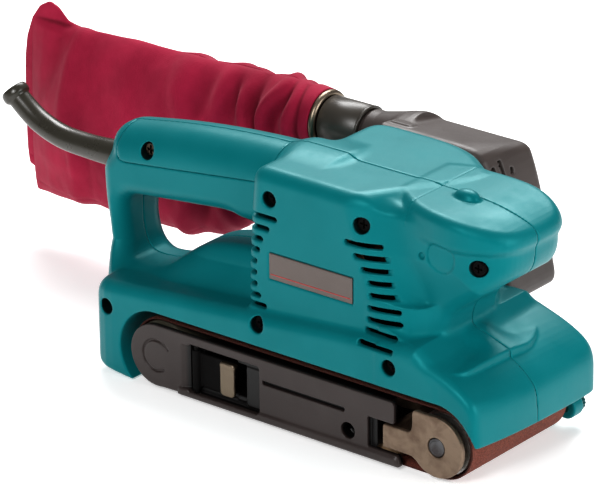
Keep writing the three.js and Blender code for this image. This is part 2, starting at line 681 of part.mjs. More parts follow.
function addSideScrews() {
  SIDE_SCREWS.forEach(({ name, x, z, head }) => {
    const top = rodY(x, z, head - 2.7, head, SCREW_HEAD_R, 14);
    const shank = rodY(x, z, 44, head - 1, SCREW_SHANK_R, 8);
    const slotA = box(x - 2.2, x + 2.2, head - 1.4, head + 1, z - 0.5, z + 0.5);
    const slotB = box(x - 0.5, x + 0.5, head - 1.4, head + 1, z - 2.2, z + 2.2);
    addPiece(name, cut(join(top, shank), slotA, slotB), "darkSteel");
  });
}

// ---- Switch -----------------------------------------------------------------

function addSwitch() {
  addPiece("switch_body", box(-88, -48, -9, 9, 104, 118), "charcoal");
  const finger = outline([
    [-67, 97.5], [-67, 89, 3], [-57, 85, 8], [-46, 85.5, 4], [-40.5, 90, 3], [-40.5, 98],
  ]);
  const trigger = solidOf(sideSlab(finger, -6.5, 6.5, { round: 1.2 }));
  addPiece("trigger", cut(trigger, triggerRod(TRIGGER_PIVOT.holeR, 20)), "charcoal");
  addPiece("trigger_pin", triggerRod(TRIGGER_PIVOT.pinR, 14), "darkSteel");
  const button = join(
    rodY(LOCK.x, LOCK.z, 12.2, 20.4, 4, 20), rodY(LOCK.x, LOCK.z, 12.2, 13.6, 5.4, 20),
  );
  addPiece("lock_button", button, "charcoal");
}

// ---- Dust nozzle and bag ----------------------------------------------------

function nozzleBody(inset) {
  const side = outline([
    [-22 + inset, 50 + inset], [-22 + inset, 130 - inset], [44 - inset, 130 - inset, 12],
    [63 - inset, 50 + inset, 9],
  ]);
  const from = LEFT_FACE + 0.4 + inset;
  const block = solidOf(sideSlab(side, from, 91 - inset, { round: 4 - inset / 2 }));
  const lid = new THREE.BoxGeometry(200, 100, 40).translate(0, 40, 20 - inset);
  lid.rotateX(-0.2).translate(0, LEFT_FACE, 129.6);
  return block.subtract(solidOf(lid));
}

function addNozzle() {
  const start = BAG_MOUTH_X + 4;
  const tube = turned(
    [[0, 0], [10.8, 0], [10.8, 27], [11.8, 27], [11.8, 32], [17, 54], [17, 58], [0, 58]],
    [start, OUTLET_Y, OUTLET_Z], ALONG_X, 28,
  );
  const lugs = SIDE_SCREWS.filter((s) => s.head === 57)
    .map((s) => box(s.x - 5, s.x + 5, LEFT_FACE + 0.4, 54, s.z - 5, 56));
  const bore = turned([[0, 0], [OUTLET_BORE_R, 0], [OUTLET_BORE_R, 34], [14, 56], [0, 56]],
    [start - 1, OUTLET_Y, OUTLET_Z], ALONG_X, 28);
  const keepWall = coverSolid(4.6, 40, 64);
  const chamber = join(
    cut(nozzleBody(2.5), keepWall), bore, box(42, 58, LEFT_FACE, 60, 54, 60),
  );
  const nozzle = cut(
    join(nozzleBody(0), tube, ...lugs), chamber, coverSolid(2, 40, 61),
    ...SIDE_SCREWS.map((s) => rodY(s.x, s.z, 45, 60, SCREW_SHANK_R + 0.2, 8)),
  );
  addPiece("dust_nozzle", largest(nozzle), "charcoal");
}

function bagBody(inset) {
  const side = outline([
    [BAG_END_X, 22], [-128, 26, 40], [BAG_MOUTH_X + 2, 90], [BAG_MOUTH_X + 2, 128],
    [-150, 129], [BAG_END_X, 122],
  ]);
  const slab = sideSlab(side, OUTLET_Y - 23.5 + inset, OUTLET_Y + 24 - inset,
    { round: 13 - inset, inset, curve: 4 });
  return solidOf(slab);
}

function addBag() {
  const neckEnd = BAG_MOUTH_X + 5;
  const collar = turned(
    [[11.2, 0], [13, 0], [13, 25], [11.2, 25], [11.2, 0]], [neckEnd, OUTLET_Y, OUTLET_Z], ALONG_X, 28,
  );
  addPiece("bag_collar", collar, "charcoal");
  const ring = turned(
    [[11.2, 0], [14.6, 0], [15.4, 1.2], [15.4, 2.8], [14.6, 4], [11.2, 4], [11.2, 0]],
    [neckEnd - 4.4, OUTLET_Y, OUTLET_Z], ALONG_X, 28,
  );
  addPiece("bag_ring", ring, "steel");
  const mouth = rodX(OUTLET_Y, OUTLET_Z, BAG_MOUTH_X - 30, BAG_MOUTH_X + 20, 9.5, 20);
  const bag = cut(bagBody(0), bagBody(BAG_WALL), mouth, box(BAG_MOUTH_X, 0, 0, 150, 0, 200));
  addPiece("dust_bag", largest(bag), "maroon");
}

// ---- Cord guard -----------------------------------------------------------

function addCordGuard() {
  const route = new THREE.CatmullRomCurve3([
    new THREE.Vector3(-146, 0, GUARD_Z), new THREE.Vector3(-165, 0, GUARD_Z - 0.5),
    new THREE.Vector3(-184, 0, 97.5), new THREE.Vector3(-200, 0, 102.5),
    new THREE.Vector3(-212, 0, 110.5), new THREE.Vector3(-219, 0, 117),
  ]);
  const circle = (radius) => new THREE.Shape().absarc(0, 0, radius, 0, 2 * Math.PI);
  const alongRoute = (radius) => {
    const options = { steps: 10, extrudePath: route, bevelEnabled: false, curveSegments: 4 };
    return new THREE.ExtrudeGeometry(circle(radius), options);
  };
  const sleeve = solidOf(alongRoute(5.6));
  const bore = solidOf(alongRoute(3.4));
  const root = join(
    rodX(0, GUARD_Z, -150, -137.4, GUARD_R, 20),
    rodX(0, GUARD_Z, -141, -137.4, GUARD_R + 1.8, 20),
  );
  const end = route.getPointAt(0.955);
  const direction = route.getTangentAt(0.97);
  const bead = turned([[0, 0], [6.6, 0], [7.2, 1.5], [7.2, 3], [6.4, 4.4], [0, 4.4]],
    [end.x, end.y, end.z], direction, 20);
  const rootBore = rodX(0, GUARD_Z, -160, -130, 3.4, 12);
  const flare = turned([[0, 0], [4.6, 0], [3.4, 6], [0, 6]], [-143, 0, GUARD_Z], ALONG_X, 16);
  const guard = cut(join(sleeve, root, bead), bore, rootBore, flare);
  addPiece("cord_guard", largest(guard), "rubber");
  addPiece("cord_clamp", box(-132, -127.4, -8, 8, 97, 101), "charcoal");
}

addHousing();
addLabel();
addFrame();
addRollers();
addFrontBracket();
addTensioner();
addMotor();
addDrive();
addSideScrews();
addSwitch();
addNozzle();
addBag();
addCordGuard();

export default sander;
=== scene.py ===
"""Looks for the handheld belt sander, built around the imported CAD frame.

Solids are described by signed distance on a fine grid, in millimetres, and then meshed, so moulded pieces get
real fillets, rounded edges and parting lines. The frame is in metres: +X nose, +Y dust-nozzle side, +Z up.
"""

import math

import bpy
import numpy as np
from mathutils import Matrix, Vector
from mathutils import noise as mathutils_noise


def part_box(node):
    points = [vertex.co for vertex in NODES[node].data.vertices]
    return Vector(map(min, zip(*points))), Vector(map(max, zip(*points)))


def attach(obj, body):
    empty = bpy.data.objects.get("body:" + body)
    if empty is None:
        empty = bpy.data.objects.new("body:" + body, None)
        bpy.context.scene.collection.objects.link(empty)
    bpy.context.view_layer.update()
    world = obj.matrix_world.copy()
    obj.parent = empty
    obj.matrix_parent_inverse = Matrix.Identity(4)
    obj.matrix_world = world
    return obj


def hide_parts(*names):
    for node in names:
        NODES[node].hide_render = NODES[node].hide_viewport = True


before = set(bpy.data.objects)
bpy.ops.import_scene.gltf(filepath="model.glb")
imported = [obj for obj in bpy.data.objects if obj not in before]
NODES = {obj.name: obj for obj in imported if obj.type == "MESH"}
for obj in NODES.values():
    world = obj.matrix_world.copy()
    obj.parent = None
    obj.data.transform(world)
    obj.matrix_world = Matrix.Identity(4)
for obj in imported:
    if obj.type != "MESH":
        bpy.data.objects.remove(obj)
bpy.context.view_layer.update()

MM = 0.001
FINE = 0.62
MEDIUM = 0.5
SCENE = bpy.context.scene

# ---- Where the CAD says things are, in millimetres ----


def extent(node):
    low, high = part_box(node)
    return [v / MM for v in low], [v / MM for v in high]


def middle(node):
    return [(a + b) / 2 for a, b in zip(*extent(node))]


def centre_of(node, a=0, b=2):
    """The middle of a node's box along two of its axes, X and Z unless others are asked for."""
    centre = middle(node)
    return centre[a], centre[b]


FRONT_AXLE = middle("front_axle")
REAR_AXLE = middle("drive_bearing")
MOTOR = middle("stator")
AXLE_Z = FRONT_AXLE[2]
TUNNEL_R = 23.0
TUNNEL_LEFT = 42.0
RIGHT_FACE = -44.0
UPPER_RIGHT = -38.0
LEFT_FACE = 50.0
TOP_Z = 131.5
SPLIT = 0.15


# ---- Distance-field toolkit ----


class Grid:
    """Sample points, in millimetres, on which solids are described."""

    def __init__(self, low, high, step):
        self.step = step
        lows = [math.floor(v / step) * step - 2.5 * step for v in low]
        counts = [int(math.ceil((h - l) / step)) + 4 for l, h in zip(lows, high)]
        axes = [l + step * np.arange(n) for l, n in zip(lows, counts)]
        self.low = lows
        self.x = axes[0][:, None, None].astype(np.float32)
        self.y = axes[1][None, :, None].astype(np.float32)
        self.z = axes[2][None, None, :].astype(np.float32)

    def side(self, corners):
        return polygon(rounded(corners), self.x[:, :, 0], self.z[0])[:, None, :]

    def skewed_side(self, corners, slope):
        """A side outline that moves along X by slope for each millimetre of Y."""
        flat = self.side(corners)[:, 0]
        skewed = np.empty((len(flat), self.y.size, flat.shape[1]), np.float32)
        for j, y in enumerate(self.y.ravel()):
            at = np.clip(np.arange(len(flat)) - slope * y / self.step, 0, len(flat) - 1.001)
            first = at.astype(int)
            part = (at - first)[:, None]
            skewed[:, j] = flat[first] * (1 - part) + flat[first + 1] * part
        return skewed

    def plan(self, corners):
        return polygon(rounded(corners), self.x[:, :, 0], self.y[:, :, 0].reshape(1, -1))[:, :, None]


def rounded(corners, steps=7):
    """A polyline through corners (a, b, radius), with arcs where a radius is given."""
    points = []
    count = len(corners)
    for i, corner in enumerate(corners):
        here = np.array(corner[:2], float)
        radius = corner[2] if len(corner) > 2 else 0
        if not radius:
            points.append(here)
            continue
        before = np.array(corners[i - 1][:2], float) - here
        after = np.array(corners[(i + 1) % count][:2], float) - here
        reach_before = min(radius, np.linalg.norm(before) * 0.49)
        reach_after = min(radius, np.linalg.norm(after) * 0.49)
        start = here + before / np.linalg.norm(before) * reach_before
        end = here + after / np.linalg.norm(after) * reach_after
        for t in np.linspace(0, 1, steps):
            points.append((1 - t) ** 2 * start + 2 * t * (1 - t) * here + t * t * end)
    return np.array(points)


def polygon(points, a, b):
    """Signed distance to a closed polyline, negative inside."""
    a, b = np.broadcast_arrays(a, b)
    best = np.full(a.shape, 1e9, np.float32)
    inside = np.zeros(a.shape, bool)
    for (ax, ay), (bx, by) in zip(points, np.roll(points, -1, 0)):
        ex, ey = bx - ax, by - ay
        length = ex * ex + ey * ey
        if length < 1e-12:
            continue
        t = np.clip(((a - ax) * ex + (b - ay) * ey) / length, 0, 1)
        best = np.minimum(best, (a - ax - t * ex) ** 2 + (b - ay - t * ey) ** 2)
        if ey:
            inside ^= ((ay > b) != (by > b)) & (a < ex * (b - ay) / ey + ax)
    return np.where(inside, -1, 1).astype(np.float32) * np.sqrt(best)


def blend_join(a, b, k):
    h = np.maximum(k - np.abs(a - b), 0) / k
    return np.minimum(a, b) - h * h * k * 0.25


def blend_cut(a, b, k):
    return -blend_join(-a, b, k)


def round_meet(a, b, radius):
    u, v = a + radius, b + radius
    return np.hypot(np.maximum(u, 0), np.maximum(v, 0)) - radius + np.minimum(np.maximum(u, v), 0)


def slab(values, low, high):
    return np.abs(values - (low + high) / 2) - (high - low) / 2


def block(g, low, high, radius=0.0):
    across = [slab(v, lo, hi) for v, lo, hi in zip((g.x, g.y, g.z), low, high)]
    return round_meet(round_meet(across[0], across[1], radius), across[2], radius)


def rod(g, axis, centre, radius, low=None, high=None, edge=0.3):
    others = [i for i in range(3) if i != axis]
    values = (g.x, g.y, g.z)
    offsets = [values[i] - centre[n] for n, i in enumerate(others)]
    field = np.hypot(offsets[0], offsets[1]) - radius
    if low is None:
        return field
    return round_meet(field, slab(values[axis], low, high), edge)


def smoothstep(values, low, high):
    t = np.clip((values - low) / (high - low), 0, 1)
    return t * t * (3 - 2 * t)


def surface(name, g, field, look):
    """Meshes the zero level of a field by surface nets."""
    f = np.ascontiguousarray(np.broadcast_to(field, (g.x.size, g.y.size, g.z.size)), np.float32)
    nx, ny, nz = f.shape
    inside = f < 0
    offsets = [(i, j, k) for i in (0, 1) for j in (0, 1) for k in (0, 1)]
    corner = [inside[i : nx - 1 + i, j : ny - 1 + j, k : nz - 1 + k] for i, j, k in offsets]
    any_in = np.logical_or.reduce(corner)
    all_in = np.logical_and.reduce(corner)
    cells = np.argwhere(any_in & ~all_in)
    index = np.full((nx - 1, ny - 1, nz - 1), -1, np.int32)
    index[cells[:, 0], cells[:, 1], cells[:, 2]] = np.arange(len(cells))
    values = {(i, j, k): f[cells[:, 0] + i, cells[:, 1] + j, cells[:, 2] + k] for i, j, k in offsets}
    total = np.zeros((len(cells), 3))
    weight = np.zeros(len(cells))
    for start in offsets:
        for axis in range(3):
            if start[axis]:
                continue
            end = tuple(1 if n == axis else v for n, v in enumerate(start))
            a, b = values[start], values[end]
            crosses = (a < 0) != (b < 0)
            t = np.where(crosses, a / np.where(crosses, a - b, 1), 0)
            point = np.repeat(np.array([start], float), len(cells), 0)
            point[:, axis] = t
            total += point * crosses[:, None]
            weight += crosses
    vertices = (cells + total / weight[:, None]) * g.step + np.array(g.low)
    quads = []
    for axis in range(3):
        b_axis, c_axis = [n for n in range(3) if n != axis]
        lower = np.take(inside, range(0, f.shape[axis] - 1), axis)
        upper = np.take(inside, range(1, f.shape[axis]), axis)
        for starts_inside in (True, False):
            edges = np.argwhere((lower != upper) & (lower == starts_inside))
            keep = (edges[:, b_axis] > 0) & (edges[:, c_axis] > 0)
            keep &= (edges[:, b_axis] < f.shape[b_axis] - 1) & (edges[:, c_axis] < f.shape[c_axis] - 1)
            edges = edges[keep]
            ring = []
            for db, dc in ((0, 0), (1, 0), (1, 1), (0, 1)):
                at = edges.copy()
                at[:, b_axis] -= db
                at[:, c_axis] -= dc
                ring.append(index[at[:, 0], at[:, 1], at[:, 2]])
            quad = np.stack(ring, 1)
            forward = starts_inside == (axis != 1)
            quads.append(quad if forward else quad[:, ::-1])
    return mesh_object(name, vertices * MM, np.concatenate(quads), look)


def mesh_object(name, vertices, quads, look, smooth=True):
    mesh = bpy.data.meshes.new(name)
    mesh.vertices.add(len(vertices))
    mesh.vertices.foreach_set("co", np.ascontiguousarray(vertices, np.float32).ravel())
    mesh.loops.add(quads.size)
    mesh.loops.foreach_set("vertex_index", np.ascontiguousarray(quads, np.int32).ravel())
    mesh.polygons.add(len(quads))
    starts = np.arange(0, quads.size, quads.shape[1], dtype=np.int32)
    mesh.polygons.foreach_set("loop_start", starts)
    mesh.polygons.foreach_set("use_smooth", np.full(len(quads), smooth))
    mesh.update(calc_edges=True)
    mesh.validate()
    mesh.materials.append(look.material)
    obj = bpy.data.objects.new(name, mesh)
    SCENE.collection.objects.link(obj)
    return obj


def ring_quads(count, sides, closed=False):
    """Faces between neighbouring rings of vertices, each ring sides long."""
    quads = []
    for i in range(count if closed else count - 1):
        n = (i + 1) % count
        for j in range(sides):
            k = (j + 1) % sides
            quads.append((i * sides + j, n * sides + j, n * sides + k, i * sides + k))
    return quads


def tube_mesh(name, centres, frames, profile, look, sides):
    """Sweeps rings along centres: profile gives each ring's radius, frames its two axes."""
    angles = np.linspace(0, 2 * math.pi, sides, endpoint=False)
    rings = []
    for centre, (u, v), radius in zip(centres, frames, profile):
        rings.append(centre + radius * (np.outer(np.cos(angles), u) + np.outer(np.sin(angles), v)))
    outward = np.array(ring_quads(len(rings), sides, True))[:, [0, 3, 2, 1]]
    return mesh_object(name, np.concatenate(rings) * MM, outward, look)


def turned_x(name, profile, centre, look):
    """A closed [x, radius] outline turned about a line along X through centre (y, z)."""
    centres = [np.array([x, centre[0], centre[1]]) for x, _ in profile]
    axes = [(np.array([0.0, 1, 0]), np.array([0.0, 0, 1]))] * len(profile)
    return tube_mesh(name, centres, axes, [r for _, r in profile], look, 64)


def place(piece, body, stands_for=(), slot=None):
    """Hands a finished piece over: attaches it to the body it rides and hides the CAD nodes it stands for;
    the slot is not used.
    """
    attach(piece, body)
    if stands_for:
        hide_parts(*stands_for)


# ---- Materials ----


class Look:
    """A material being built: its shader, its object coordinates and short ways to add nodes."""

    def __init__(self, name):
        self.material = bpy.data.materials.new(name)
        self.material.use_nodes = True
        self.material.node_tree.nodes.clear()
        output = self.node("OutputMaterial")
        self.shader = self.node("BsdfPrincipled")
        self.put(output.inputs[0], self.shader.outputs[0])
        self.place = self.node("TexCoord").outputs["Object"]

    def put(self, socket, value):
        """Feeds a socket from another node's output, or sets it to a number or a colour."""
        if isinstance(value, bpy.types.NodeSocket):
            self.material.node_tree.links.new(value, socket)
        elif socket.type == "RGBA":
            socket.default_value = (*value, 1)
        else:
            socket.default_value = value

    def shade(self, name, value):
        self.put(self.shader.inputs[name], value)

    def node(self, kind, **inputs):
        node = self.material.node_tree.nodes.new("ShaderNode" + kind)
        for name, value in inputs.items():
            self.put(node.inputs[name], value)
        return node

    def axes(self):
        """The object coordinates as three outputs, in metres."""
        return self.node("SeparateXYZ", Vector=self.place).outputs

    def noise(self, scale, detail=4.0, rough=0.55, distortion=0.0, at=None):
        node = self.node("TexNoise", Scale=scale, Detail=detail, Roughness=rough, Distortion=distortion)
        self.put(node.inputs["Vector"], self.place if at is None else at)
        return node.outputs["Fac"]

    def ramp(self, factor, *stops):
        """A ramp between two (place, colour) stops, where a plain number stands for a grey."""
        node = self.node("ValToRGB")
        for element, (at, colour) in zip(node.color_ramp.elements, stops):
            element.position = at
            element.color = (*colour, 1) if isinstance(colour, tuple) else (colour, colour, colour, 1)
        self.put(node.inputs[0], factor)
        return node.outputs[0]

    def mix(self, factor, a, b):
        node = self.node("Mix")
        node.data_type = "RGBA"
        for socket, value in ((0, factor), (6, a), (7, b)):
            self.put(node.inputs[socket], value)
        return node.outputs[2]

    def maths(self, operation, a, b=0.0):
        node = self.node("Math")
        node.operation = operation
        self.put(node.inputs[0], a)
        self.put(node.inputs[1], b)
        return node.outputs[0]

    def bump(self, *heights):
        """Chains (height, distance, strength) into the shader's normal."""
        normal = None
        for height, distance, strength in heights:
            node = self.node("Bump", Height=height, Distance=distance, Strength=strength)
            if normal is not None:
                self.put(node.inputs["Normal"], normal)
            normal = node.outputs[0]
        self.shade("Normal", normal)


# Painted shade colours: near-black deep in recesses of moulded parts, and inside the screw wells.
RECESS_SHADE = (0.003, 0.0025, 0.0025)
WELL_SHADE = (0.003, 0.006, 0.006)


def moulded(name, colour, rough, grain=2600.0, depth=0.00006, tone=0.12, shine=0.5, wear=0.0, shade_past_y=None,
            tint=(1, 1, 1)):
    """Moulded plastic: fine spark grain, slow tone drift, rubbed edges, and painted shade deeper in than a
    given y.
    """
    look = Look(name)
    dark = tuple(c * (1 - tone) for c in colour)
    light = tuple(min(1.0, c * (1 + tone) + 0.004) for c in colour)
    base = look.ramp(look.noise(22.0, 3.0), (0.3, dark), (0.7, light))
    base = look.mix(0.06, base, look.ramp(look.noise(900.0, 2.0), (0.35, dark), (0.65, light)))
    if wear:
        edge = look.ramp(look.node("NewGeometry").outputs["Pointiness"], (0.515, 0), (0.6, 1))
        rub = look.maths("MULTIPLY", edge, look.noise(180.0, 5.0, 0.7))
        pale = tuple(c * 0.75 + 0.09 for c in colour)
        base = look.mix(look.maths("MULTIPLY", rub, wear), base, pale)
    # Painted shade: from the given y inward the colour ramps to near-black, where recesses fall into shade.
    if shade_past_y is not None:
        depth_in = look.maths("MULTIPLY", look.maths("SUBTRACT", look.axes()[1], shade_past_y), 900.0)
        base = look.mix(look.ramp(depth_in, (0.0, 0), (1.0, 1)), base, RECESS_SHADE)
    look.shade("Base Color", base)
    look.shade("Roughness", look.ramp(look.noise(55.0, 6.0, 0.65), (0.3, rough - 0.07), (0.7, rough + 0.09)))
    look.shade("Specular IOR Level", shine)
    look.shade("Specular Tint", tint)
    look.bump((look.noise(60.0, 2.0), 0.0004, 0.12), (look.noise(grain, 2.0), depth, 0.55))
    return look


def metal(name, colour, rough, brushed=(40.0, 40.0, 900.0), stain=None, metallic=1.0):
    """Bare metal with brush lines, soft stains and uneven polish."""
    look = Look(name)
    stretched = look.node("Mapping", Vector=look.place, Scale=brushed).outputs[0]
    lines = look.noise(3.0, 6.0, 0.7, at=stretched)
    blots = look.noise(70.0, 5.0, 0.6, 0.3)
    dull = stain or tuple(c * 0.55 for c in colour)
    base = look.ramp(blots, (0.38, dull), (0.56, colour))
    look.shade("Base Color", look.mix(0.25, base, look.ramp(lines, (0.3, dull), (0.7, colour))))
    look.shade("Metallic", metallic)
    look.shade("Roughness", look.ramp(lines, (0.25, rough - 0.08), (0.75, rough + 0.12)))
    look.bump((lines, 0.00004, 0.5), (blots, 0.0001, 0.1))
    return look


def abrasive():
    """Cloth-backed abrasive: packed grit, worn patches and painted shade along both edges."""
    look = Look("abrasive_cloth")
    grit = look.node("TexVoronoi", Vector=look.place, Scale=1500.0).outputs["Distance"]
    base = look.ramp(grit, (0.05, (0.3, 0.07, 0.045)), (0.7, (0.1, 0.022, 0.016)))
    base = look.mix(look.maths("MULTIPLY", look.noise(30.0, 5.0), 0.4), base, (0.2, 0.1, 0.07))
    # Painted shade: the colour goes near-black at both outer edges of the belt.
    edge_shade = look.maths("MULTIPLY", look.maths("ABSOLUTE", look.axes()[1]), 25.0)
    look.shade("Base Color", look.mix(look.ramp(edge_shade, (0.935, 0), (0.948, 0.8)), base, (0.03, 0.01, 0.008)))
    look.shade("Roughness", 0.85)
    look.shade("Specular IOR Level", 0.3)
    look.bump((grit, 0.0003, 0.8))
    return look


def bag_cloth():
    """Close woven crimson cloth with a faint twill, painted shade in its creases and an uneven tone."""
    look = Look("bag_cloth")
    base = look.ramp(look.noise(16.0, 4.0), (0.3, (0.25, 0.009, 0.034)), (0.7, (0.42, 0.017, 0.06)))
    mottled = look.ramp(look.noise(140.0, 4.0), (0.3, (0.16, 0.006, 0.022)), (0.7, (0.46, 0.035, 0.08)))
    base = look.mix(0.12, base, mottled)
    # Painted shade in the creases: concave places, found by pointiness, go darker.
    crease_shade = look.ramp(look.node("NewGeometry").outputs["Pointiness"], (0.46, 0.85), (0.5, 0))
    look.shade("Base Color", look.mix(crease_shade, base, (0.1, 0.004, 0.012)))
    look.shade("Roughness", 0.8)
    look.shade("Specular IOR Level", 0.15)
    look.shade("Sheen Weight", 0.06)
    look.shade("Sheen Roughness", 0.5)
    threads = []
    for lean in (0.785, -0.785):
        turned = look.node("Mapping", Vector=look.place, Rotation=(0, lean, 0.6)).outputs[0]
        threads.append(look.node("TexWave", Vector=turned, Scale=420.0, Distortion=0.6).outputs["Fac"])
    cloth = look.maths("MAXIMUM", *threads)
    look.bump((look.noise(260.0, 3.0), 0.0004, 0.35), (cloth, 0.00012, 0.45))
    return look


TEAL = moulded("teal_housing", (0.0, 0.15, 0.166), 0.41, tone=0.07, wear=0.15, tint=(0.12, 0.75, 0.78))
CHARCOAL = moulded("charcoal_plastic", (0.055, 0.042, 0.038), 0.46, 1900.0, 0.0001, wear=0.3)
TUBE_BLACK = moulded("outlet_tube", (0.045, 0.038, 0.03), 0.36, tone=0.15, shine=0.6)
# The frame gets painted shade deeper in than y = -42.4 mm, so its window, stop and tunnel go black.
FRAME_BLACK = moulded("black_frame", (0.034, 0.024, 0.022), 0.4, 1400.0, 0.0001, shine=0.4, wear=0.5,
                      shade_past_y=-0.0424)
BRIGHT = metal("bright_steel", (0.5, 0.47, 0.43), 0.3)
DARK_STEEL = metal("dark_steel", (0.09, 0.085, 0.08), 0.4)
ALUMINIUM = metal("aluminium", (0.6, 0.6, 0.58), 0.35)
COPPER = metal("copper", (0.6, 0.3, 0.16), 0.35)
RUBBER = moulded("rubber", (0.075, 0.068, 0.048), 0.55, 1100.0, 0.0001, 0.2)
CARBON = moulded("carbon", (0.02, 0.02, 0.02), 0.7)
CORK = moulded("cork", (0.25, 0.16, 0.09), 0.8, 500.0, 0.0003, 0.35)
BRACKET = metal("bracket_plate", (0.27, 0.2, 0.145), 0.52, (40, 40, 300), (0.15, 0.1, 0.07), 0.75)
AXLE_GREY = metal("axle_end", (0.14, 0.14, 0.145), 0.5, stain=(0.07, 0.06, 0.06))
TAB_STEEL = metal("lever_steel", (0.2, 0.16, 0.12), 0.42, (600, 60, 60), (0.22, 0.18, 0.13))
HOOP = metal("hoop_wire", (0.26, 0.21, 0.16), 0.36, stain=(0.2, 0.16, 0.12))
SCREW_BROWN = metal("screw_brown", (0.1, 0.075, 0.055), 0.38)
# Near-black, dull screws: painted shade of the deep wells they sit in.
SCREW_IN_SHADE = moulded("screw_painted_shade", (0.004, 0.0035, 0.0035), 0.75, shine=0.08)
# Near-black steel for the lever's plate, barrel and pin: painted shade of the frame's window; the tab shows
# the same steel's own colour.
STEEL_IN_SHADE = moulded("steel_painted_shade", (0.004, 0.0035, 0.0035), 0.7, shine=0.1)
KNOB_TEAL = moulded("dial_plastic", (0.0, 0.045, 0.045), 0.4, shine=0.3, tint=(0.1, 0.8, 0.8))
PLATE_GREY = moulded("plate_enamel", (0.11, 0.085, 0.075), 0.38, 3000.0, 0.00002, 0.05)
LINE_RED = moulded("plate_stripe", (0.4, 0.035, 0.03), 0.4, tone=0.05)
GUARD_RUBBER = moulded("guard_rubber", (0.032, 0.029, 0.021), 0.3, 1500.0, 0.00005, 0.08)
ABRASIVE = abrasive()
BAG_CLOTH = bag_cloth()

# ---- Housing ----


HAND_HOLE = [
    (-131, 84, 8), (-62, 91.5, 10), (-54, 89, 6), (-34, 92), (-34, 76), (-60, 74.5, 10), (-78, 70.5, 8),
    (-90, 63.5, 8), (-102, 52.6, 8), (-113, 49.4, 8), (-126, 50.5, 10), (-131, 62, 10),
]
LABEL_BOX = extent("name_plate")
RIGHT_SCREWS = {n: extent(n) for n in NODES if n.startswith("screw_") and extent(n)[0][1] <= 0}
WELL_FACE = {
    "screw_body_rear": UPPER_RIGHT, "screw_body_front": UPPER_RIGHT, "screw_grip": -29.5,
    "screw_handle_cover": -19.0,
}
BOSS_R = 5.8
WELL_R = 4.1
HOLE_R = 2.1
SLOT_HALF = 1.35
WALL = 3.0
FRONT_VENTS = [
    (107.4, 28.0, 48.0), (101.4, 33.2, 51.5), (95.4, 37.7, 54.5), (89.3, 41.5, 56.5), (83.2, 42.5, 58.0),
    (77.0, 42.1, 59.5), (71.0, 41.8, 60.5), (65.3, 40.9, 61.0), (60.2, 39.8, 61.5),
]
REAR_VENTS = [
    (107.2, -45, -13.3), (101.2, -45, -18.0), (95.1, -45, -22.0), (89.2, -45, -24.0), (83.0, -45, -25.8),
    (77.0, -45, -26.0), (71.0, -45, -25.8), (65.2, -45, -23.8), (60.2, -45, -20.2),
]


def darken_wells(look):
    """Painted shade inside the deep screw holes of the right side, near-black deeper into each well."""
    colour = look.shader.inputs["Base Color"].links[0].from_socket
    x_out, y_out, z_out = look.axes()
    flat = look.node("CombineXYZ", X=x_out, Z=z_out).outputs[0]
    for name in RIGHT_SCREWS:
        x, z = centre_of(name)
        away = look.node("VectorMath")
        away.operation = "DISTANCE"
        look.put(away.inputs[0], flat)
        look.put(away.inputs[1], (x * MM, 0, z * MM))
        near = look.maths("LESS_THAN", away.outputs["Value"], (WELL_R + 0.2) * MM)
        face = WELL_FACE.get(name, RIGHT_FACE)
        inward = look.maths("MULTIPLY", look.maths("SUBTRACT", y_out, face * MM), 500.0)
        depth_in = look.ramp(inward, (0.2, 0), (0.9, 0.97))
        colour = look.mix(look.maths("MULTIPLY", near, depth_in), colour, WELL_SHADE)
    look.shade("Base Color", colour)


def handle_field(g):
    outer = g.side([
        (-142, 56, 8), (-128, 26), (0, 26), (0, TOP_Z), (-41, 131.2, 50), (-92, 126.8, 60),
        (-141.5, 118, 11), (-145, 99, 10),
    ])
    loop = np.maximum(outer, -g.side(HAND_HOLE))
    ledge = 50 + (g.x + 111) * 0.09
    flare = 11 * np.clip((11 - g.z + ledge) / 16, 0, 1)
    half = 18 + flare
    across = np.maximum(-g.y - half, g.y - 18)
    middle = 101 + (g.x + 131) * 0.085
    radius = 8.5 + 8.5 * smoothstep(g.z - middle, -5, 6) + 2 * (1 - smoothstep(g.z, 64, 82))
    return round_meet(loop, across, radius)


def skirt_field(g):
    side = g.side([(-132, -20), (-132, 48, 10), (66, 65.5), (74, 65.5), (92, 52), (92, -20)])
    far = g.side([(-132, -20), (-132, 30, 8), (-103, 50, 12), (66, 65.5), (74, 65.5), (92, 52), (92, -20)])
    side = side + (far - side) * smoothstep(g.y, 8, 20)
    plan = g.plan([(-132, RIGHT_FACE, 17), (92, RIGHT_FACE), (92, LEFT_FACE), (-132, LEFT_FACE, 17)])
    under = g.side([(-132, 4, 13), (-132, 70), (100, 70), (100, 26), (-60, 26), (-99, 0.3)])
    return round_meet(round_meet(side, plan, 6.5), under, 0.9)


def nose_field(g):
    side = g.skewed_side([
        (50, -20), (117.5, -20), (116.5, 34, 10), (113, 43.5, 9), (99.5, 53.8, 16), (74, 62, 5), (50, 64),
    ], 0.055)
    plan = g.plan([
        (50, RIGHT_FACE), (110.5, RIGHT_FACE, 5), (116, -16, 40), (117, 18, 40), (115.5, LEFT_FACE, 9),
        (50, LEFT_FACE),
    ])
    slope = round_meet(round_meet(side, plan, 4.5), 23.4 - g.z, 0.9)
    outward = np.clip(np.abs(g.y) / 38, 0, 1) ** 2
    dish = 3.2 * np.exp(-(((g.x - 84) / 9) ** 2)) * smoothstep(np.abs(g.y), 4, 16)
    top = g.z - (65.3 - 0.33 * (g.x - 73.5) - 2.4 * outward - dish)
    shelf_plan = g.plan([(50, -39), (96, -38.5, 12), (98.5, 0, 40), (101, 18, 13), (85, 40, 13), (50, 44)])
    shelf = np.maximum(round_meet(top, shelf_plan, 0.9), 45 - g.z)
    return blend_join(slope, shelf, 1.0)


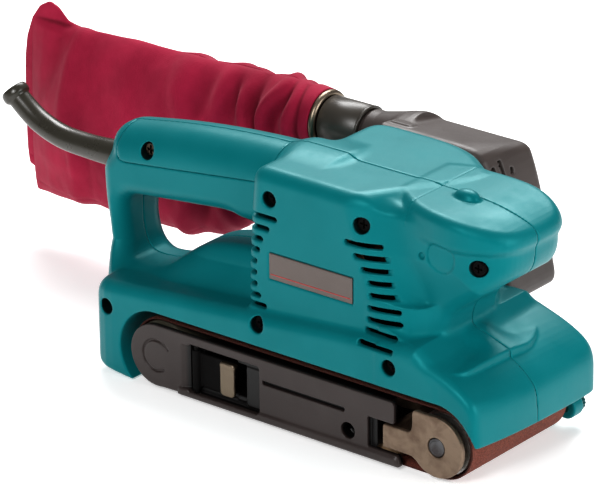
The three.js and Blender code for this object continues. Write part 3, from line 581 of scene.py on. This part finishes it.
def body_field(g):
    side = g.side([(-34.5, 40), (-34.3, 76, 30), (-29.5, TOP_Z, 8), (70, TOP_Z), (70, 40)])
    plan = g.plan([
        (-34.5, UPPER_RIGHT, 5), (70, UPPER_RIGHT), (70, 26), (62, 32, 14), (38, LEFT_FACE, 26),
        (-12, LEFT_FACE, 10), (-21, 44, 8), (-21, 14), (-34.5, 14),
    ])
    edge_x = 43 + np.clip(120 - g.z, -6, 64) * 0.317
    slant = 0.843 * (g.x - edge_x) - 0.542 * (g.y - UPPER_RIGHT)
    return round_meet(round_meet(side, plan, 7), slant, 12)


def grip_field(g):
    cap_side = g.side([
        (40, TOP_Z), (88, TOP_Z - 0.7, 16), (113, 124, 12), (116.3, 117, 4), (112, 113.5), (40, 113.5),
    ])
    cap_plan = g.plan([
        (42, -15), (57, -26, 10), (74, -32, 14), (93, -32.5, 16), (112, -21, 14), (117, 0, 26),
        (115.5, 22, 13), (97, 33, 12), (58, 32, 10), (42, 24),
    ])
    cap = round_meet(cap_side, cap_plan, 5)
    lower_side = g.side([
        (40, 128), (100, 125), (115, 118), (114.5, 104, 8), (101, 94, 10), (81, 80, 12), (75.5, 72, 10),
        (73, 55), (40, 55),
    ])
    lower_plan = g.plan([
        (40, -29), (92, -29, 14), (110, -19, 14), (115, 0, 26), (113, 23, 13), (93, 30, 12), (40, 30),
    ])
    half = 22.5 + 7.5 * smoothstep(g.z, 78, 112)
    lower = round_meet(lower_side, np.maximum(lower_plan, np.abs(g.y) - half), 6)
    column = g.plan([
        (46, -34), (61, -34, 8), (70, -26, 10), (74.5, -10, 12), (74.5, 14, 12), (66, 34, 12), (46, 36),
    ])
    column = np.maximum(column, slab(g.z, 50, 84) + 6 * smoothstep(g.z, 70, 84))
    lower = blend_join(lower, round_meet(column, g.z - 86, 8), 5)
    return blend_join(cap, lower, 2.2)


def tunnel_field(g):
    reach = np.hypot(np.maximum(np.abs(g.x) - FRONT_AXLE[0], 0), g.z - AXLE_Z) - TUNNEL_R
    below = np.maximum(slab(g.x, REAR_AXLE[0], 150), g.z - AXLE_Z)
    return np.maximum(np.minimum(reach, below), g.y - TUNNEL_LEFT)


def drive_wall_field(g):
    wall = g.side([(-108, 6, 6), (92, 6, 4), (102, 22, 6), (102, 44), (-108, 44)])
    wall = round_meet(wall, slab(g.y, TUNNEL_LEFT, LEFT_FACE), 1.2)
    boss = rod(g, 1, centre_of("tracking_knob"), 6.0, TUNNEL_LEFT, LEFT_FACE, 1)
    return blend_join(wall, boss, 4)


def outer_field(g):
    base = blend_join(skirt_field(g), nose_field(g), 0.8)
    upper = blend_join(body_field(g), grip_field(g), 8 - 6 * smoothstep(g.z, 122, 131))
    whole = blend_join(handle_field(g), upper, 3.5 + 6 * smoothstep(g.z, 105, 120))
    whole = blend_join(whole, base, 3.0)
    whole = np.minimum(whole, drive_wall_field(g))
    bump = ((g.x - 76) / 7) ** 2 + ((g.y + 4.5) / 4.6) ** 2 + ((g.z - TOP_Z + 0.6) / 4.2) ** 2
    whole = blend_join(whole, (np.sqrt(bump) - 1) * 4.4, 1.6)
    disc = np.maximum(np.hypot(g.x - 78.5, g.z - 108.5) - 7.8, g.y)
    whole = blend_cut(whole, np.maximum(disc, -(whole + 0.8)), 0.5)
    dimple = np.maximum(np.hypot(g.x - 67.5, g.z - 107) - 1.7, g.y)
    whole = blend_cut(whole, np.maximum(dimple, -(whole + 1.4)), 0.4)
    return blend_cut(whole, tunnel_field(g), 0.8)


def cut_vents(g, shell, vents, depth, edge):
    """Cuts rounded slots (z, x start, x end) into the right side as far in as y = depth."""
    for z, start, end in vents:
        slot = round_meet(slab(g.z, z - SLOT_HALF, z + SLOT_HALF), slab(g.x, start, end), 1.3)
        shell = blend_cut(shell, np.maximum(slot, g.y - depth), edge)
    return shell


def with_details(g, whole):
    """The hollow shell with the right side's bosses, screw holes, cooling slots and label recess."""
    shell = np.maximum(whole, -(whole + WALL))
    for name, (low, high) in RIGHT_SCREWS.items():
        centre = centre_of(name)
        shell = np.minimum(shell, np.maximum(rod(g, 1, centre, BOSS_R, low[1] - 12, 14), whole))
        shell = blend_cut(shell, rod(g, 1, centre, WELL_R, -70, low[1] + 2.9), 0.7)
        shell = np.maximum(shell, -rod(g, 1, centre, HOLE_R, low[1], high[1] + 1))
    shell = cut_vents(g, shell, FRONT_VENTS, -31.8, 0.4)
    shell = cut_vents(g, shell, REAR_VENTS, -33.0, 0.5)
    low, high = LABEL_BOX
    recess = block(g, (low[0] - 0.4, -50, low[2] - 0.4), (high[0] + 0.4, high[1] + 0.1, high[2] + 0.4), 0.6)
    return np.maximum(shell, -recess)


def make_housing():
    low, high = extent("housing_right")
    g = Grid(low, (high[0] + 1, extent("housing_left")[1][1], high[2]), FINE)
    whole = outer_field(g)
    shell = with_details(g, whole)
    cover = np.maximum(g.side([(-135, 102, 10), (-33, 114.8, 2), (-33.5, 150), (-128, 150)]), g.y)
    seam = np.abs(g.side([(57.3, 90), (57.9, 150), (150, 150), (150, 90)]))
    scribe = np.maximum(np.maximum(seam - 0.28, -(whole + 0.5)), 120 - g.z)
    shell = np.maximum(shell, -scribe)
    gap = 0.4 * SPLIT
    right = round_meet(np.maximum(shell, -(cover - gap)), g.y + SPLIT, 0.25)
    lid = round_meet(np.maximum(shell, cover + gap), g.y + SPLIT, 0.25)
    left = round_meet(shell, SPLIT - g.y, 0.25)
    for name, field in (("housing_right", right), ("housing_left", left), ("handle_cover", lid)):
        place(surface(name + "_shell", g, field, TEAL), "root", [name], "teal_housing")


# ---- Belt frame, bracket, axle and lever ----

PLATE_Y = (-43.5, -40.2)
WINDOW_X = (-66.0, -21.0)
WINDOW_Z = (4.5, 30.0)
LEVER_PIN = (-62, -41.6)


def make_belt_frame():
    low, high = extent("belt_frame")
    g = Grid((low[0], low[1] - 1.5, low[2]), high, MEDIUM)
    outline = g.side([
        (-87, 34.4), (62, 34.4, 3), (62, 23, 1.5), (46, 23, 1), (46, 7, 1), (64, 7, 1.5), (66.2, 1.5, 3),
        (-71, 2.0), (-73, 2.2), (-87, 1.6),
    ])
    end = np.hypot(g.x - REAR_AXLE[0], g.z - AXLE_Z) - 16.4
    plate = round_meet(np.minimum(outline, end), slab(g.y, *PLATE_Y), 0.45)
    lip = g.side([(-73, 1.4), (-72, 5.6, 1.5), (63.5, 6.2, 1.5), (66.5, 1.4, 2.5)])
    lip = round_meet(lip, slab(g.y, -44.7, -40.4), 1.2)
    plate = blend_join(plate, lip, 1.0)
    window = round_meet(slab(g.x, *WINDOW_X), slab(g.z, *WINDOW_Z), 1.6)
    slope = (g.y + 43.5 - (g.x + 70.6) * 0.62) * 0.85
    bevel = np.maximum(round_meet(slab(g.x, -70.6, -64), slab(g.z, 5.6, 28.9), 1.6), slope)
    plate = blend_cut(plate, np.maximum(window, slab(g.y, -50, -38)), 0.5)
    plate = blend_cut(plate, bevel, 0.4)
    groove = round_meet(slab(g.x, -19, 32), slab(g.z, 21.3, 23.4), 0.3)
    plate = blend_cut(plate, np.maximum(groove, g.y + 41.0), 0.3)
    around = np.hypot(g.x - REAR_AXLE[0], g.z - AXLE_Z)
    angle = np.arctan2(g.z - AXLE_Z, g.x - REAR_AXLE[0])
    arc = np.maximum(np.abs(around - 8.2) - 0.6, 0.9 - np.abs(angle))
    tip = g.side([(-81.6, 25.9), (-78.6, 22.6), (-79.4, 22.2), (-83.2, 25.2)])
    plate = blend_cut(plate, np.maximum(np.minimum(arc, tip), g.y + 42.6), 0.2)
    beam = round_meet(slab(g.x, -62, 50), slab(g.z, 7, 30), 1.0)
    beam = round_meet(beam, slab(g.y, -40.7, TUNNEL_LEFT - 0.3), 0.6)
    hollow = np.maximum(slab(g.x, -59, 55), slab(g.z, 10, 27))
    hollow = np.maximum(hollow, slab(g.y, -38, 38))
    opening = np.maximum(slab(g.x, -59, -30), np.maximum(slab(g.z, 10, 27), slab(g.y, -50, -36)))
    lever_room = block(g, (-66, -50, 5.5), (-36.8, -38.9, 28.5), 0.4)
    body = np.minimum(plate, beam)
    body = np.maximum(body, -np.minimum(np.minimum(hollow, opening), lever_room))
    stop = block(g, (-31, -41.3, 5.2), (-21.4, -37, 27.4), 1.0)
    notch = block(g, (-27.6, -50, 21.5), (-26.6, -41.4, 30), 0.2)
    sill = block(g, (-67, -40.0, 3.2), (-20, -39.3, 7.6), 0.2)
    body = np.minimum(np.minimum(body, sill), blend_cut(stop, notch, 0.3))
    body = blend_cut(body, rod(g, 1, (34, 12), 4.2, -60, -37), 0.5)
    body = np.maximum(body, -rod(g, 2, LEVER_PIN, 1.5, 2.4, 32.4))
    body = np.maximum(body, -rod(g, 1, (REAR_AXLE[0], AXLE_Z), 5.4, -41.6, -30))
    place(surface("belt_frame_body", g, body, FRAME_BLACK), "root", ["belt_frame"], "black_frame")


def make_bracket():
    low, high = extent("front_bracket")
    g = Grid(low, high, MEDIUM)
    disc = np.hypot(g.x - FRONT_AXLE[0], g.z - AXLE_Z) - 15.6
    shoulder = g.side([(72.6, 19), (72.6, 33.8, 2.2), (87, 33.6), (87, 19)])
    tongue = g.side([(55, 9.5), (55, 21.5, 1), (76, 21.5), (76, 9.5)])
    outline = np.minimum(blend_join(disc, shoulder, 1.5), blend_join(disc, tongue, 3))
    arms = np.minimum(slab(g.y, -43.2, -40.4), slab(g.y, 38.8, 41.4))
    body = round_meet(outline, arms, 0.4)
    body = np.minimum(body, block(g, (57, -42, 9.8), (61, 40, 21.3), 0.6))
    body = np.minimum(body, block(g, (18, -8, 12.5), (59, 8, 23.5), 1.0))
    body = blend_cut(body, rod(g, 1, (FRONT_AXLE[0], AXLE_Z), 5.0), 0.4)
    place(surface("roller_bracket", g, body, BRACKET), "tension_slide", ["front_bracket"], "steel")


def make_axle():
    low, high = extent("front_axle")
    g = Grid(low, high, 0.4)
    centre = (FRONT_AXLE[0], AXLE_Z)
    body = rod(g, 1, centre, 4.7, low[1] + 0.5, high[1], 0.4)
    body = np.minimum(body, rod(g, 1, centre, 3.7, low[1] + 0.05, 0, 0.5))
    place(surface("roller_axle", g, body, AXLE_GREY), "tension_slide", ["front_axle"], "steel")


def make_lever():
    low, high = extent("release_lever")
    g = Grid(low, high, 0.4)
    tab = round_meet(slab(g.x, -46.2, -37.2), slab(g.z, 8.0, 25.8), 2.4)
    tab = round_meet(tab, slab(g.y, -43.3, -41.0), 0.9)
    bend = round_meet(slab(g.x, -46.2, -37.2), slab(g.z, 23.4, 25.8), 1.0)
    bend = round_meet(bend, slab(g.y, -43.0, -39.5), 0.6)
    place(surface("lever_tab", g, blend_join(tab, bend, 1.2), TAB_STEEL), "lever", (), "steel")
    # The plate and barrel take the near-black steel, painted shade; the tab beside them keeps the steel's own
    # colour.
    plate = block(g, (-62, -41.2, 8), (-40, -39.6, 26), 0.5)
    barrel = rod(g, 2, LEVER_PIN, 2.2, 6.5, 27.5)
    arm = np.maximum(blend_join(plate, barrel, 1), -rod(g, 2, LEVER_PIN, 1.5))
    place(surface("lever_plate", g, arm, STEEL_IN_SHADE), "lever", ["release_lever"], "steel")


# ---- Sanding belt ----


def make_abrasive_belt():
    low, high = extent("abrasive_belt")
    half = (high[0] - low[0]) / 2 - (high[2] - low[2]) / 2
    arc = 56
    section = [
        (17.0, -37.6), (17.3, -37.95), (17.85, -37.9), (18.0, -37.5), (18.0, 0), (18.0, 37.5),
        (17.85, 37.9), (17.3, 37.95), (17.0, 37.6), (17.0, 0),
    ]
    rings = []
    for axle, first in ((half, -math.pi / 2), (-half, math.pi / 2)):
        for i in range(arc + 1):
            turn = first + math.pi * i / arc
            rings += [(axle + r * math.cos(turn), y, AXLE_Z + r * math.sin(turn)) for r, y in section]
    quads = ring_quads(2 * (arc + 1), len(section), True)
    belt = mesh_object("sanding_belt", np.array(rings) * MM, np.array(quads), ABRASIVE)
    place(belt, "root", ["abrasive_belt"], "abrasive_cloth")


# ---- Dust nozzle, collar, ring and drive cover ----

OUTLET = centre_of("bag_ring", 1, 2)


def cover_field(g, grow, low, high, edge):
    ax, az, bx, bz = REAR_AXLE[0], AXLE_Z, MOTOR[0], MOTOR[2]
    ex, ez = bx - ax, bz - az
    t = np.clip(((g.x - ax) * ex + (g.z - az) * ez) / (ex * ex + ez * ez), 0, 1)
    capsule = np.hypot(g.x - ax - t * ex, g.z - az - t * ez) - (15.1 + 0.9 * t) - grow
    return round_meet(capsule, slab(g.y, low, high), edge)


def left_screws(prefix):
    return [centre_of(n) for n in NODES if n.startswith(prefix)]


def make_nozzle():
    low, high = extent("dust_nozzle")
    g = Grid(low, high, 0.55)
    side = g.side([(-22, 50), (-22, 129.6, 2), (40, 129.6, 16), (50, 108, 20), (62.5, 50, 9)])
    lid = (g.z - 129.2 + (g.y - LEFT_FACE) * 0.2) * 0.98
    block_field = round_meet(round_meet(side, lid, 4), slab(g.y, LEFT_FACE + 0.4, 91), 5)
    start = low[0]
    along = g.x - start
    radius = np.interp(along, [0, 27, 27.8, 33, 55], [10.8, 10.8, 11.8, 11.9, 17])
    away = np.hypot(g.y - OUTLET[0], g.z - OUTLET[1])
    tube = round_meet(away - radius, slab(g.x, start, start + 58), 0.5)
    body = blend_join(block_field, tube, 5)
    rib = g.side([(-24.5, 118), (-17, 129.5, 3), (-6, 129.5, 3), (-1, 112, 6), (-24.5, 96, 6)])
    rib = round_meet(rib, slab(g.y, 57, 62), 1.0)
    body = blend_join(body, np.maximum(rib, lid - 0.6), 2.0)
    for y, z, tall in ((57, 114, 4.5), (63, 116, 4.0), (70, 113.5, 1.6), (57, 100, 1.6)):
        slot = round_meet(slab(g.y, y - 1.3, y + 1.3), slab(g.z, z - tall, z + tall), 0.8)
        slot = np.maximum(np.maximum(slot, 30 - g.x), -(block_field + 2.0))
        body = blend_cut(body, slot, 0.4)
    for x, z in left_screws("screw_nozzle"):
        body = np.minimum(body, block(g, (x - 5, LEFT_FACE + 0.4, z - 5), (x + 5, 54, 56), 1.2))
        body = np.maximum(body, -rod(g, 1, (x, z), HOLE_R, 45, 60))
    bore = np.maximum(away - np.interp(along, [0, 33, 55], [9.0, 9.0, 14.0]), along - 56)
    hollow = np.maximum(block_field + 2.6, -cover_field(g, 4.6, 40, 64, 0.5))
    body = np.maximum(body, -np.minimum(bore, hollow))
    body = np.maximum(body, -cover_field(g, 2.0, 40, 61, 1.4))
    body = np.maximum(body, -block(g, (42, 40, 54), (58, 60, 60), 0.4))
    place(surface("nozzle_body", g, body, CHARCOAL), "root", ["dust_nozzle"], "charcoal_plastic")


def make_collar():
    a, b = [corner[0] for corner in extent("bag_collar")]
    collar = turned_x("collar_tube", [
        (a, 11.2), (a, 12.6), (a + 0.5, 13.0), (b - 1.8, 13.0), (b - 1.6, 12.75), (b - 1.2, 12.75),
        (b - 1.0, 13.1), (b - 0.3, 13.1), (b, 12.8), (b, 11.2),
    ], OUTLET, TUBE_BLACK)
    place(collar, "bag", ["bag_collar"], "charcoal_plastic")
    x = middle("bag_ring")[0]
    turns = np.linspace(0, 2 * math.pi, 20)[:-1]
    hoop = [(x + 2.0 * math.cos(t), 13.3 + 2.0 * math.sin(t)) for t in turns]
    ring = turned_x("wire_hoop", hoop, OUTLET, HOOP)
    place(ring, "bag", ["bag_ring"], "steel")


def make_drive_cover():
    low, high = extent("drive_cover")
    g = Grid(low, high, 0.6)
    body = cover_field(g, 1.5, low[1], high[1], 2.6)
    body = np.maximum(body, -cover_field(g, 0.0, 40, 58.4, 1.5))
    for x, z in left_screws("screw_drive"):
        body = np.minimum(body, rod(g, 1, (x, z), 4.2, low[1], 59))
        body = blend_cut(body, rod(g, 1, (x, z), WELL_R, 57, 80), 0.5)
        body = np.maximum(body, -rod(g, 1, (x, z), HOLE_R, 40, 80))
    inner = cover_field(g, -5.0, 59.7, 70, 0.8)
    body = blend_cut(body, np.maximum(inner, -cover_field(g, -6.0, 50, 70, 0.1)), 0.4)
    place(surface("belt_cover", g, body, TEAL), "root", ["drive_cover"], "teal_housing")


# ---- Small controls ----


def make_trigger():
    low, high = extent("trigger")
    g = Grid(low, high, 0.4)
    finger = g.side([
        (-67, 97.8), (-67, 89, 3), (-57, 84.9, 8), (-46, 85.4, 4), (-40.5, 90, 3), (-40.5, 98.2),
    ])
    body = round_meet(finger, slab(g.y, low[1], high[1]), 2.0)
    for i in range(4):
        body = blend_cut(body, rod(g, 1, (-60.5 + i * 3.4, 83.6 + 0.5 * abs(i - 1.5)), 1.5), 0.5)
    body = np.maximum(body, -rod(g, 1, (-44, 94.5), 1.8))
    place(surface("trigger_finger", g, body, CHARCOAL), "trigger_body", ["trigger"], "charcoal_plastic")


def make_lock_button():
    low, high = extent("lock_button")
    g = Grid(low, high, 0.3)
    centre = centre_of("lock_button")
    body = rod(g, 1, centre, 4.0, low[1], high[1], 0.7)
    body = np.minimum(body, rod(g, 1, centre, 5.4, low[1], low[1] + 1.4, 0.3))
    dish = np.sqrt((g.x - centre[0]) ** 2 + (g.y - high[1] - 8.2) ** 2 + (g.z - centre[1]) ** 2) - 9
    body = blend_cut(body, dish, 0.4)
    place(surface("lock_stud", g, body, CHARCOAL), "lock_body", ["lock_button"], "charcoal_plastic")


def make_tracking_knob():
    low, high = extent("tracking_knob")
    g = Grid(low, high, 0.25)
    centre = centre_of("tracking_knob")
    angle = np.arctan2(g.z - centre[1], g.x - centre[0])
    flutes = np.hypot(g.x - centre[0], g.z - centre[1]) - 4.75 - 0.22 * np.cos(16 * angle)
    body = round_meet(flutes, slab(g.y, LEFT_FACE + 0.3, high[1]), 0.6)
    body = np.minimum(body, rod(g, 1, centre, 2.5, low[1], LEFT_FACE + 1))
    body = blend_cut(body, rod(g, 1, centre, 2.4, high[1] - 1.0, high[1] + 5), 0.4)
    place(surface("tracking_dial", g, body, KNOB_TEAL), "knob", ["tracking_knob"], "charcoal_plastic")


def make_cover_screw():
    low, high = extent("screw_handle_cover")
    centre = centre_of("screw_handle_cover")
    g = Grid(low, high, 0.2)
    body = rod(g, 1, centre, 3.6, low[1], low[1] + 2.6, 0.7)
    body = np.minimum(body, rod(g, 1, centre, 1.9, low[1] + 1, high[1]))
    u, v = np.abs(g.x - centre[0]), np.abs(g.z - centre[1])
    cross = np.minimum(np.maximum(u - 0.55, v - 2.3), np.maximum(v - 0.55, u - 2.3))
    body = blend_cut(body, np.maximum(cross, g.y - low[1] - 1.7), 0.2)
    place(surface("cover_screw", g, body, SCREW_BROWN), "root", ["screw_handle_cover"], "dark_steel")


def make_name_plate():
    low, high = LABEL_BOX
    face = low[1]
    g = Grid(low, high, 0.3)
    plate = block(g, low, high, 0.3)
    place(surface("plate_sheet", g, plate, PLATE_GREY), "root", ["name_plate"], "label_plate")
    g = Grid((low[0], face - 0.3, low[2]), (high[0], face + 0.3, low[2] + 4), 0.12)
    start = (low[0] + 0.8, face - 0.12, low[2] + 2.3)
    end = (high[0] - 0.8, face + 0.1, low[2] + 2.9)
    place(surface("plate_line", g, block(g, start, end, 0.05), LINE_RED), "root", (), "label_plate")


# ---- Cord guard ----


def spline(points, count):
    """Catmull-Rom through the points, evenly sampled."""
    p = np.array(points, float)
    p = np.concatenate([[2 * p[0] - p[1]], p, [2 * p[-1] - p[-2]]])
    fine = []
    for i in range(1, len(p) - 2):
        for t in np.linspace(0, 1, 24, endpoint=False):
            a, b, c, d = p[i - 1], p[i], p[i + 1], p[i + 2]
            curve = (2 * a - 5 * b + 4 * c - d) * t**2 + (3 * b - a - 3 * c + d) * t**3
            fine.append(0.5 * (2 * b + (c - a) * t + curve))
    fine.append(p[-2])
    fine = np.array(fine)
    run = np.concatenate([[0], np.cumsum(np.linalg.norm(np.diff(fine, axis=0), axis=1))])
    at = np.linspace(0, run[-1], count)
    return np.stack([np.interp(at, run, fine[:, k]) for k in range(3)], 1), at


def make_cord_guard():
    route = [
        (-137.4, 0, 97), (-146, 0, 97), (-165, 0, 96.5), (-184, 0, 97.5), (-200, 0, 102.5), (-212, 0, 110.5),
        (-217.2, 0, 115.4),
    ]
    centres, run = spline(route, 90)
    length = run[-1]
    outer = np.interp(
        run,
        [0, 3.5, 3.9, 10, 30, length - 5.6, length - 5.0, length - 3.4, length - 1, length],
        [8.8, 8.8, 7.0, 7.0, 6.3, 5.8, 6.9, 7.4, 7.2, 6.6],
    )
    tangent = np.gradient(centres, axis=0)
    tangent /= np.linalg.norm(tangent, axis=1)[:, None]
    across = np.array([0.0, 1, 0])
    frames = [(across, np.cross(t, across)) for t in tangent]
    inner = [3.4 + 0.9 * math.exp(-(length - at) / 1.2) for at in run]
    out_and_back = list(centres) + list(centres[::-1])
    radii = list(outer) + inner[::-1]
    body = tube_mesh("bend_guard", out_and_back, frames + frames[::-1], radii, GUARD_RUBBER, 40)
    place(body, "root", ["cord_guard"], "drive_rubber")


# ---- Dust bag: a lofted cloth shell ----


def wave(points, scale, seed):
    """Smooth, repeatable noise at points (n, 3) in millimetres."""
    offset = Vector((seed * 17.3, seed * 5.1, seed * 9.7))
    return np.array([mathutils_noise.noise(Vector(p) / scale + offset) for p in points])


def ridge(values, sharp):
    """A rounded crest, 1 where values are 0."""
    return np.exp(0.6 - np.sqrt((values * sharp) ** 2 + 0.36))


GATHERS = [
    (13, 8, 3.4, 0.34), (27, -9, 4.4, 0.26), (42, 14, 4.8, 0.22), (60, -12, 4.2, 0.18), (82, 20, 3.4, 0.13),
]


def make_bag():
    low, high = extent("dust_bag")
    mouth_x = high[0] + 1.2
    rear_x = -274.5
    closing = rear_x + 44 * (1 - np.cos(np.linspace(0, math.pi / 2, 60)))
    stations = np.concatenate([closing, np.linspace(rear_x + 44, mouth_x, 150)[1:]])
    sides = 180
    top = np.interp(
        stations,
        [rear_x, -273, -269, -264, -258, -253, -246, -238, -230, -195, -155, -112, -92, -79, -73],
        [100, 110, 121, 128, 131.3, 129.5, 123.5, 121, 121.4, 123.2, 124.4, 126, 127, 126.4, 125.6],
    )
    bottom = np.interp(
        stations,
        [rear_x, -273.8, -269.4, -268.9, -250, -222, -184, -148, -133, -122, -110, -97, -86, -79, -73],
        [44, 38, 36.5, 24.4, 26, 28.3, 28.8, 30.3, 34, 42, 60, 79, 91, 95.5, 96.6],
    )
    half = np.interp(
        stations,
        [rear_x, -269, -266, -250, -233, -226, -205, -165, -125, -96, -82, -73],
        [0.9, 1.8, 3.4, 11.0, 17.6, 18.8, 19.5, 20.5, 18.5, 16, 14.8, 14.4],
    )
    neck = smoothstep(stations, -140, -79)
    turn = np.linspace(0, 2 * math.pi, sides, endpoint=False)
    rings = []
    for x, up, down, wide, round_part in zip(stations, top, bottom, half, neck):
        s, c = np.sin(turn), np.cos(turn)
        power = 1.2 - 0.2 * round_part - 0.42 * (1 - round_part) * smoothstep(-s, 0.2, 1)
        low_heavy = 1 + (1 - round_part) * 0.16 * (-s)
        z = (up + down) / 2 + s * (up - down) / 2
        ear = 1 - 0.82 * smoothstep(z, 118.5, 122.5) * smoothstep(-x, 238, 244)
        y = np.sign(c) * np.abs(c) ** power * wide * low_heavy * ear * (1 + 0.08 * (1 - round_part))
        rings.append(np.stack([np.full(sides, x), OUTLET[0] + y, z], 1))
    rings = np.array(rings)
    du = np.gradient(rings, axis=0)
    dv = np.roll(rings, -1, 1) - np.roll(rings, 1, 1)
    normal = np.cross(dv, du)
    normal /= np.maximum(np.linalg.norm(normal, axis=2), 1e-6)[:, :, None]
    flat = rings.reshape(-1, 3)
    x, y, z = rings[:, :, 0], rings[:, :, 1], rings[:, :, 2]
    edge = np.abs(np.cos(turn))[None, :] ** 0.6
    shape = rings.shape[:2]
    slow = wave(flat * [1, 1, 0.8], 46, 1).reshape(shape)
    mid = wave(flat * [1, 1, 0.5], 22, 2).reshape(shape)
    fine = wave(flat, 9, 3).reshape(shape)
    bend = wave(flat, 32, 4).reshape(shape)
    from_ring = mouth_x - x
    gathers = np.zeros(shape)
    for distance, lean, height, tight in GATHERS:
        line = (from_ring - distance - lean * (z - OUTLET[1]) / 40 - 8 * bend) * tight
        gathers += height * (np.exp(-(line**2)) - 0.8 * np.exp(-((line + 1.7) ** 2)))
    gathers *= smoothstep(from_ring, 2, 12) * (1 - 0.5 * smoothstep(from_ring, 80, 120))
    creases = 2.6 * mid + 0.7 * ridge(mid - 0.2 * slow, 3)
    creases *= smoothstep(from_ring, 12, 60) * (0.45 + 0.55 * smoothstep(-x, 120, 160))
    fold_line = x + 231 + 0.05 * (z - 70) + 5 * bend
    rear_fold = 2.6 * ridge(fold_line, 0.2) - 2.4 * ridge(fold_line - 12, 0.15)
    drag = x + 196 + 0.3 * (z - 110) + 9 * bend
    rear_fold += 1.3 * ridge(drag, 0.11) * smoothstep(z, 60, 100)
    hem = 1.0 * ridge(z - 52 - 0.12 * (x + 250) - 6 * bend, 0.2) * (1 - smoothstep(x, -250, -190))
    sag = 4.2 * slow * smoothstep(from_ring, 6, 40)
    push = edge * (sag + 0.3 * fine + gathers + creases + rear_fold + hem)
    thin = np.minimum(1, half / 10)[:, None]
    seam = -0.25 * np.exp(-(((z - bottom[:, None] - 5.5) / 0.8) ** 2)) * smoothstep(from_ring, 60, 90)
    rings = rings + normal * (push * thin + seam)[:, :, None]
    rings[:, :, 1] += 1.4 * np.sin((x + 275) / 31.0) * (z - 70) / 60 * smoothstep(from_ring, 30, 80)
    rings[:, :, 1] = np.clip(rings[:, :, 1], low[1] + 0.3, high[1] + 5)
    quads = ring_quads(len(stations), sides)
    vertices = np.concatenate([rings.reshape(-1, 3), rings[0].mean(0)[None]])
    tip = len(vertices) - 1
    quads += [(tip, j, j + 1, (j + 2) % sides) for j in range(0, sides, 2)]
    bag = mesh_object("cloth_bag", vertices * MM, np.array(quads), BAG_CLOTH)
    wall = bag.modifiers.new("cloth", "SOLIDIFY")
    wall.thickness = 1.0 * MM
    wall.offset = -1
    place(bag, "bag", ["dust_bag"], "bag_cloth")


darken_wells(TEAL)
for maker in (make_housing, make_belt_frame, make_bracket, make_axle, make_lever, make_abrasive_belt,
              make_nozzle, make_collar, make_drive_cover, make_trigger, make_lock_button,
              make_tracking_knob, make_cover_screw, make_name_plate, make_cord_guard, make_bag):
    maker()

# ---- Finishes for the CAD nodes that stay ----

# Near-black looks here are painted shade: lever_pin sits in the frame's shaded window, and the nodes not
# listed, the screws among them, sit deep in shaded wells.
LOOKS = {
    "switch_body": CARBON, "fan": CHARCOAL, "cord_clamp": CARBON, "platen": BRIGHT, "drive_shaft": BRIGHT,
    "bearing_outer": BRIGHT, "bearing_inner": BRIGHT, "drive_bearing": BRIGHT, "armature": BRIGHT,
    "lever_pin": STEEL_IN_SHADE, "tension_spring": DARK_STEEL, "stator": DARK_STEEL, "motor_pulley": DARK_STEEL,
    "driven_pulley": DARK_STEEL, "trigger_pin": DARK_STEEL, "front_roller": ALUMINIUM, "commutator": COPPER,
    "brush_holder_upper": COPPER, "brush_holder_lower": COPPER, "drive_roller": RUBBER, "timing_belt": RUBBER,
    "platen_pad": CORK, "carbon_brush_upper": CARBON, "carbon_brush_lower": CARBON,
}
for name, node in NODES.items():
    node.data.materials.clear()
    node.data.materials.append(LOOKS.get(name, SCREW_IN_SHADE).material)

# ---- Stage, light and camera ----


def make_stage():
    look = Look("pale_floor")
    look.shade("Base Color", look.ramp(look.noise(3.0), (0.3, 0.9), (0.7, 0.92)))
    look.shade("Roughness", 0.9)
    look.shade("Emission Color", (1, 1, 1))
    look.shade("Emission Strength", 0.35)
    reach, below = 6, -0.0002
    corners = [(-reach, -reach, below), (reach, -reach, below), (reach, reach, below), (-reach, reach, below)]
    mesh_object("floor", np.array(corners), np.array([[0, 1, 2, 3]]), look, False)
    world = bpy.data.worlds.new("studio")
    SCENE.world = world
    world.use_nodes = True
    colour, strength = world.node_tree.nodes["Background"].inputs[:2]
    colour.default_value = (1, 1, 1, 1)
    strength.default_value = 0.16


def area_light(name, place, target, size, power):
    data = bpy.data.lights.new(name, "AREA")
    data.shape = "RECTANGLE"
    data.size, data.size_y = size
    data.energy = power
    lamp = bpy.data.objects.new(name, data)
    lamp.location = place
    lamp.rotation_euler = (Vector(target) - Vector(place)).to_track_quat("-Z", "Y").to_euler()
    SCENE.collection.objects.link(lamp)


CAMERA_PLACE = (1.2952, -1.6266, 0.9701)
CAMERA_TURN = (66.991, 0.552, 38.926)


def make_camera():
    """A long lens off the nose's right, looking 23 degrees down. The turn is in degrees about X, Y, Z."""
    data = bpy.data.cameras.new("camera")
    data.sensor_width = 36
    data.lens = 279.5
    data.shift_x = -0.0003
    data.clip_end = 50
    camera = bpy.data.objects.new("camera", data)
    camera.location = CAMERA_PLACE
    camera.rotation_euler = [math.radians(angle) for angle in CAMERA_TURN]
    SCENE.collection.objects.link(camera)
    SCENE.camera = camera


make_stage()
area_light("top", (-0.5, 0.75, 1.1), (0, 0.02, 0.08), (0.9, 0.6), 20)
area_light("key", (0.3, -1.5, 1.2), (0, 0, 0.06), (0.6, 0.6), 16)
area_light("fill", (1.7, 0.15, 0.7), (0.05, 0, 0.06), (0.8, 0.8), 14)
make_camera()
SCENE.view_settings.view_transform = "Standard"
SCENE.view_settings.look = "Medium High Contrast"
